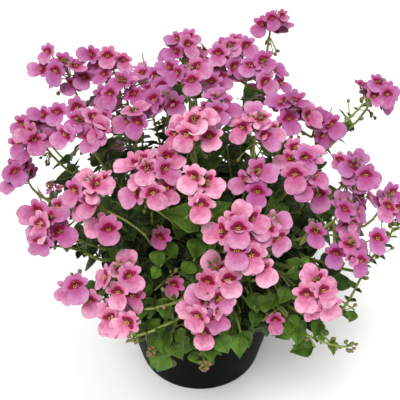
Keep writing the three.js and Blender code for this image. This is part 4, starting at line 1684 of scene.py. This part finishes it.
def makeLeaves():
    finish = leafFinish()
    fine = [leafShape("leaf", leafRows, leafColumns, k, bends) for k, bends in enumerate(leafBends)]
    coarse = [leafShape("smallLeaf", coarseRows, coarseColumns, k, bends)
              for k, bends in enumerate(coarseBends, len(leafBends))]
    mainRows = dressLeaves(partLeaves + moreLeaves, *leafShade["part"])
    main = plantShapes("leaves", mainRows, fine, finish,
                       **{"Size": leafLook["size"], "Size spread": 0.1, "Turn spread": 0.1})
    inner = plantShapes("innerLeaves", dressLeaves(extraLeaves, *leafShade["extra"]), coarse, finish,
                        **{"Size spread": 0.08, "Turn spread": 0.15})
    return main, inner


leaves, innerLeaves = makeLeaves()
for piece in (leaves, innerLeaves):
    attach(piece, "root")
    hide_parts(*[f"leafy_stem_{k + 1:02d}" for k in range(layout["stemCount"])])
print("leaves planted")


# Flowers

petalLook = {
    "mauve": "#9f5997",
    "salmon": "#dc87a8",
    "mauveEdgeAndHighlight": "#b985b1",
    "salmonEdgeAndHighlight": "#f5c2d6",
    "deep": "#b81f5c",
    "lip": "#b03c74",
    "throat": "#850a3a",
    "heart": "#5a0a1c",
    "back": "#b4588f",
    "backVein": "#963a74",
    "veinCount": 24,
    "ruffle": 0.07,
    "unevenness": 0.09,
}
# how much each kind of open flower cups, and how deep the notch of its lip is
petalKinds = [(0.0, 0.08), (0.06, 0.0), (0.1, 0.14), (-0.06, 0.05), (0.02, 0.0), (0.14, 0.1), (-0.1, 0.0)]
halfOpenKind = {"seed": 9, "cup": 0.6, "ruffle": 0.06, "notch": 0.05}
# the petals' edge down the right half, from between the two upper lobes to the middle of the broad lower
# lobe: degrees, share of the radius, height of the edge
petalEdge = [
    (90, 0.88, -0.02), (83, 0.97, 0.03), (74, 1.06, 0.06), (63, 1.1, 0.06), (52, 1.06, 0.04),
    (43, 0.95, 0.01), (36, 0.84, -0.03), (29, 0.97, 0.02), (20, 1.1, 0.06), (9, 1.15, 0.1), (-2, 1.09, 0.1),
    (-11, 0.93, 0.05),
    (-18, 0.69, -0.04), (-24, 0.79, 0.0), (-32, 1.0, 0.06), (-42, 1.21, 0.12), (-54, 1.4, 0.15),
    (-66, 1.52, 0.13), (-78, 1.58, 0.08), (-90, 1.59, 0.04),
]
# share of the way out to the edge, height there
frontRings = [(0.17, -0.16), (0.33, -0.03), (0.6, 0.05), (0.85, 0.03)]
backRings = [(0.12, -0.25), (0.5, -0.05), (0.82, -0.03)]
# marks on the petals: middle, width, height, softness, colour, share
petalSpots = [
    (0.0, 0.1, 0.92, 0.7, 0.85, "deep", 0.55),
    (0.0, -0.85, 0.6, 0.6, 0.95, "lip", 0.22),
    (0.0, 0.2, 0.48, 0.4, 0.3, "throat", 0.95),
    (-0.36, 0.04, 0.36, 0.24, 0.35, "throat", 0.95),
    (0.36, 0.04, 0.36, 0.24, 0.35, "throat", 0.95),
    (0.0, 0.1, 0.34, 0.22, 0.5, "heart", 0.95),
]


def petalShape(name, seed, cup, ruffle, notch):
    half = [(a, r * (1 - notch * max(0, 1 - (a + 90) / 16)), z) for a, r, z in petalEdge]
    whole = half + [(180 - a, r, z) for a, r, z in half[-2:0:-1]]
    count = len(whole)
    verts, tags, faces = [], [], []

    def add(share, rise, k, side):
        angle, radius, edge = whole[k]
        turn = math.radians(angle)
        place = Vector((math.cos(turn), math.sin(turn), 0)) * (radius * share)
        waviness = noise.noise(place * 2.3 + Vector((seed * 5, 0, seed)))
        unevenness = noise.noise(Vector((math.cos(turn), math.sin(turn), seed * 3)) * 1.5)
        place *= 1 + petalLook["unevenness"] * share * unevenness
        z = rise + edge * share ** 2 + cup * share ** 2 * radius + ruffle * waviness * share
        verts.append((place.x, place.y, z))
        tags.append((place.x, place.y, side))
        return len(verts) - 1

    fronts = [[add(share, rise, k, 0) for k in range(count)] for share, rise in frontRings]
    backs = [[add(share, rise, k, 1) for k in range(count)] for share, rise in backRings]
    edge = [add(1, 0, k, 0.5) for k in range(count)]
    verts += [(0, 0.02, -0.17), (0, 0, -0.3)]
    tags += [(0, 0.02, 0), (0, 0, 1)]
    throat, calyx = len(verts) - 2, len(verts) - 1
    for k in range(count):
        n = (k + 1) % count
        for a, b in zip(fronts + [edge], fronts[1:] + [edge]):
            faces.append((a[n], a[k], b[k], b[n]))
        for a, b in zip(backs + [edge], backs[1:] + [edge]):
            faces.append((a[k], a[n], b[n], b[k]))
        faces.append((throat, fronts[0][k], fronts[0][n]))
        faces.append((calyx, backs[0][n], backs[0][k]))
    addSpurs(verts, tags, faces)
    mesh = newMesh(name, verts, [tuple(reversed(f)) for f in faces])
    storeOn(mesh, "petalPlace", "FLOAT_VECTOR", [v for t in tags for v in t])
    markRim(mesh, edge)
    return mesh


def addSpurs(verts, tags, faces):
    # the two hollow horns behind the flower, curving back and down
    sides = 5
    for side in (-1, 1):
        first = len(verts)      # of the rings
        for share, radius in ((0, 0.13), (0.45, 0.09), (0.8, 0.06)):
            middle = Vector((side * (0.24 + 0.1 * share), -0.05 - 0.38 * share, -0.1 - 0.42 * share ** 0.7))
            verts += [tuple(middle + Vector(place)) for place in ringPoints(radius, sides, 0, 0.7)]
        verts += [(side * 0.36, -0.5, -0.6), (side * 0.24, -0.05, -0.06)]
        tip, top = len(verts) - 2, len(verts) - 1
        tags += [(side * 0.3, -0.1, 1)] * (len(verts) - first)
        closeRings(faces, first, tip - sides, sides, top, tip)


def petalFinish():
    material, tree, shader = newFinish("twinspurPetal", 0.55, Specular_IOR_Level=0.12, Sheen_Weight=0.06)
    place = attributeOf(tree, "petalPlace", "Vector")
    x, y, side = axesOf(tree, place)
    flat = addNode(tree, "ShaderNodeVectorMath", {0: place, 1: (1, 1, 0)}, operation="MULTIPLY").outputs[0]
    away = addNode(tree, "ShaderNodeVectorMath", {0: flat}, operation="LENGTH").outputs["Value"]
    tint = attributeOf(tree, "tint")
    body = mixColour(tree, tint, petalLook["mauve"], petalLook["salmon"])
    # paler toward the edge: partly the petals' own paler margin, partly painted highlight
    edge = mixColour(tree, tint, petalLook["mauveEdgeAndHighlight"], petalLook["salmonEdgeAndHighlight"])
    body = mixColour(tree, ramp(tree, away, 0.5, 1.3, 0, 0.75), body, edge)
    # less depth mixes in the darker lip colour: random tone on most flowers, painted shade on skirt flowers
    body = useGroup(tree, "mottle", Colour=body, Dark=petalLook["lip"], Tint=attributeOf(tree, "depth"),
                    Patch_scale=380.0, Patch_share=0.42, Tint_share=0.5)
    wobble = times(tree, noiseAt(tree, place, 3.0, 2), 5)
    rays = times(tree, mathNode(tree, "ARCTAN2", y, x), petalLook["veinCount"])
    lines = mathNode(tree, "SINE", mathNode(tree, "ADD", rays, wobble))
    veins = times(tree, ramp(tree, lines, 0.2, 1.0), ramp(tree, away, 1.35, 0.3, 0, 0.42))
    body = mixColour(tree, veins, body, petalLook["deep"])
    for middleX, middleY, width, height, softness, name, share in petalSpots:
        mask = useGroup(tree, "spot", Place=place, Middle_X=middleX, Middle_Y=middleY, Width=width,
                        Height=height, Softness=softness)
        body = mixColour(tree, times(tree, mask, share), body, petalLook[name])
    back = mixColour(tree, times(tree, veins, 1.4), petalLook["back"], petalLook["backVein"])
    base = mixColour(tree, ramp(tree, side, 0.55, 0.9), body, back)
    grain = useGroup(tree, "grain", Fine_scale=2200.0, Coarse_scale=500.0, Coarse_share=0.7)
    relief = mathNode(tree, "SUBTRACT", grain, veins)
    finishWith(tree, shader, base, ramp(tree, veins, 0, 0.4, 0.5, 0.65), relief, 0.6, 0.0003)
    return material


def lobedBall(rings, sides):
    # a closed round shape from (height, radius) rings
    verts = [(0, 0, rings[0][0] - 0.02)]
    for z, radius in rings:
        verts += ringPoints(radius, sides, z)
    verts.append((0, 0, rings[-1][0] + 0.04))
    faces = []
    closeRings(faces, 1, len(verts) - 1 - sides, sides, 0, len(verts) - 1)
    return verts, faces


def joinShapes(name, shapes):
    # shapes are (verts, faces, move): the height in their own measure is kept as an attribute
    verts, faces, heights = [], [], []
    for shapeVerts, shapeFaces, move in shapes:
        base = len(verts)
        verts += [tuple(move @ Vector(v)) for v in shapeVerts]
        heights += [v[2] for v in shapeVerts]
        faces += [tuple(base + i for i in f) for f in shapeFaces]
    mesh = newMesh(name, verts, faces)
    storeOn(mesh, "height", "FLOAT", heights)
    return mesh


stamenSet = {
    "places": ((-0.115, 0.04, 0.05), (0.11, 0.06, 0.06), (-0.06, -0.1, 0.03), (0.075, -0.08, 0.04)),
    "anther": [(0.02, 0.5), (0.45, 0.8), (0.85, 0.45)],
    "antherSize": (0.055, 0.055, 0.08),
    "thread": [(0.0, 0.16), (1.0, 0.12)],
    "threadWidth": 0.12,
    "size": 1.1,
}


def stamenShape():
    # four anthers on short filaments in front of the throat
    ball = lobedBall(stamenSet["anther"], 5)
    thread = lobedBall(stamenSet["thread"], 4)
    width = stamenSet["threadWidth"]
    shapes = []
    for x, y, lift in stamenSet["places"]:
        stretch = Matrix.Diagonal((*stamenSet["antherSize"], 1))
        shapes.append((*ball, Matrix.Translation((x, y, lift)) @ stretch))
        start, end = Vector((x * 0.3, 0.08, -0.15)), Vector((x, y, lift))
        turn = (end - start).to_track_quat("Z", "Y").to_matrix().to_4x4()
        stretch = Matrix.Diagonal((width, width, (end - start).length, 1))
        shapes.append((*thread, Matrix.Translation(start) @ turn @ stretch))
    return joinShapes("stamens", shapes)


def calyxShape():
    # a small green cup with five pointed sepals behind the petals
    sides = 10
    verts, faces = [(0, 0, -0.36)], []
    for z, radius in ((-0.33, 0.08), (-0.25, 0.15)):
        verts += ringPoints(radius, sides, z)
    points, notches = ringPoints(0.3, sides, -0.1), ringPoints(0.15, sides, -0.2)
    verts += [notches[k] if k % 2 else points[k] for k in range(sides)]
    verts.append((0, 0, -0.2))
    closeRings(faces, 1, 1 + 2 * sides, sides, 0, 1 + 3 * sides)
    return joinShapes("calyx", [(verts, faces, Matrix.Identity(4))])


# the rings are height and radius along a bud; the rest is for the tuft of buds on a head, in pairs of what
# the first bud has and how much more or less the last one has
budSet = {
    "rings": [(0.08, 0.16), (0.25, 0.3), (0.5, 0.36), (0.75, 0.3), (0.92, 0.15)],
    "sides": 6,
    "stretches": (1, 0.85),
    "count": 13,
    "fewCount": 6,
    "rise": (11, 6),
    "spread": (3.4, 2.6),
    "lean": (1.2, 0.9),
    "size": (3.3, 1.7),
}


def budShape(stretch):
    ball = lobedBall(budSet["rings"], budSet["sides"])
    return joinShapes("bud", [(*ball, Matrix.Diagonal((stretch, 1, 1, 1)))])


def budRows():
    random = makeRandom(flowerSet["seed"] + 1)
    rise, riseMore = budSet["rise"]
    spread, spreadLess = budSet["spread"]
    lean, leanLess = budSet["lean"]
    size, sizeLess = budSet["size"]
    rows = []
    for head in heads:
        axis = head["axis"]
        side = axis.orthogonal().normalized()
        middle = head["centre"] + moveOf(head)[0]
        count = budSet["count"] if head["flowers"] > 2 else budSet["fewCount"]
        for k in range(count):
            turn = math.radians(k * goldenAngle + 40 * next(random))
            out = Matrix.Rotation(turn, 3, axis) @ side
            at = middle + axis * (rise + riseMore * k / count) + out * (spread - spreadLess * k / count)
            along = (out * (lean - leanLess * k / count) + axis).normalized()
            # the bud's own Z is its long axis
            rows.append({"at": at, "along": flattened(out, along), "normal": along,
                         "size": size - sizeLess * k / count, "kind": k % 2, "tint": next(random)})
        for row in head["spent"]:
            along = row["axis"].orthogonal().normalized()
            rows.append({"at": row["at"], "along": along, "normal": row["axis"], "size": spentSet["size"],
                         "kind": 1, "tint": spentSet["tint"]})
    return rows + youngBuds


# low and high colour, where along the piece's own height it changes, roughness
smallLooks = {
    "yellowAnther": ("#c8962a", "#f0cc3c", 0.0, 0.5, 0.6),
    "greenCalyx": ("#5f7a30", "#7b5a40", -0.35, -0.12, 0.55),
    "flowerBud": ("#6f7f36", "#96605a", 0.45, 1.1, 0.5),
}


def smallFinish(name):
    low, high, start, end, roughness = smallLooks[name]
    material, tree, shader = newFinish(name, roughness, Specular_IOR_Level=0.35)
    share = ramp(tree, attributeOf(tree, "height"), start, end)
    body = useGroup(tree, "mottle", Colour=mixColour(tree, share, low, high), Dark="#3c2a1c",
                    Tint=attributeOf(tree, "tint"), Patch_scale=500.0, Patch_share=0.2, Tint_share=0.25)
    patches = noiseAt(tree, objectPlace(tree), 800)
    rough = ramp(tree, patches, 0.3, 0.7, roughness - 0.1, roughness + 0.1)
    grain = useGroup(tree, "grain", Fine_scale=3000.0, Coarse_scale=800.0, Coarse_share=0.5)
    finishWith(tree, shader, body, rough, grain, 0.25, 0.0002)
    return material


petalShapes = [petalShape("petals", k, cup, petalLook["ruffle"], notch)
               for k, (cup, notch) in enumerate(petalKinds)]
petalShapes.append(petalShape("petals", **halfOpenKind))
petalPink = petalFinish()
onStem = {"Turn spread": 0.0, "Roll spread": 0.0}
stamenRows = [{**row, "kind": 0, "size": stamenSet["size"] * row["size"]} for row in flowers]
calyxRows = [{**row, "kind": 0} for row in flowers]
upperRows = [row for row in flowers if not row["under"]]
underRows = [row for row in flowers if row["under"]]
petals = plantShapes("petals", upperRows, petalShapes, petalPink, **onStem)
underPetals = plantShapes("underPetals", underRows, petalShapes, petalPink, **onStem)
stamens = plantShapes("stamens", stamenRows, [stamenShape()], smallFinish("yellowAnther"), **onStem)
calyces = plantShapes("calyces", calyxRows, [calyxShape()], smallFinish("greenCalyx"), **onStem)
budShapes = [budShape(stretch) for stretch in budSet["stretches"]]
buds = plantShapes("buds", budRows(), budShapes, smallFinish("flowerBud"), **{"Size spread": 0.15})
for piece in (petals, underPetals, stamens, calyces, buds):
    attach(piece, "root")
    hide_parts(*[f"flower_spray_{k + 1:02d}" for k in range(len(sprays))])
print("flowers set")


# Floor and light

studio = {
    "floor": "#f6f6f4",
    "speckle": "#e2e2de",
    "floorReach": 6,        # metres
    "sky": 0.4,
    "skyColour": "#ffffff",
    "lamps": [  # heading, height above the floor in degrees, strength, softness in degrees
        ("key", -112, 58, 2.35, 25),
        ("fill", -35, 45, 0.55, 80),
        ("top", 80, 72, 0.7, 80),
    ],
}


def layFloor():
    reach = studio["floorReach"]
    corners = [(-reach, -reach, 0), (reach, -reach, 0), (reach, reach, 0), (-reach, reach, 0)]
    mesh = newMesh("floor", corners, [(0, 1, 2, 3)])
    floor = newObject("floor", mesh)
    material, tree, shader = newFinish("paleFloor", 0.9, Specular_IOR_Level=0.1)
    speckle = times(tree, noiseAt(tree, objectPlace(tree), 40), 0.04)
    tree.links.new(mixColour(tree, speckle, studio["floor"], studio["speckle"]), shader["Base Color"])
    mesh.materials.append(material)


def hangLamps():
    world = bpy.data.worlds.new("studio")
    world.use_nodes = True
    sky = world.node_tree.nodes["Background"].inputs
    sky["Color"].default_value = colour(studio["skyColour"])
    sky["Strength"].default_value = studio["sky"]
    bpy.context.scene.world = world
    for name, heading, height, strength, softness in studio["lamps"]:
        data = bpy.data.lights.new(name, "SUN")
        data.angle = math.radians(softness)
        data.energy = strength
        lamp = newObject(name, data)
        away = direction(heading, 90 - height)
        lamp.location = away * 2
        lamp.rotation_euler = away.to_track_quat("Z", "Y").to_euler()


layFloor()
hangLamps()
bpy.context.scene.view_settings.view_transform = "Standard"
print("studio lit")
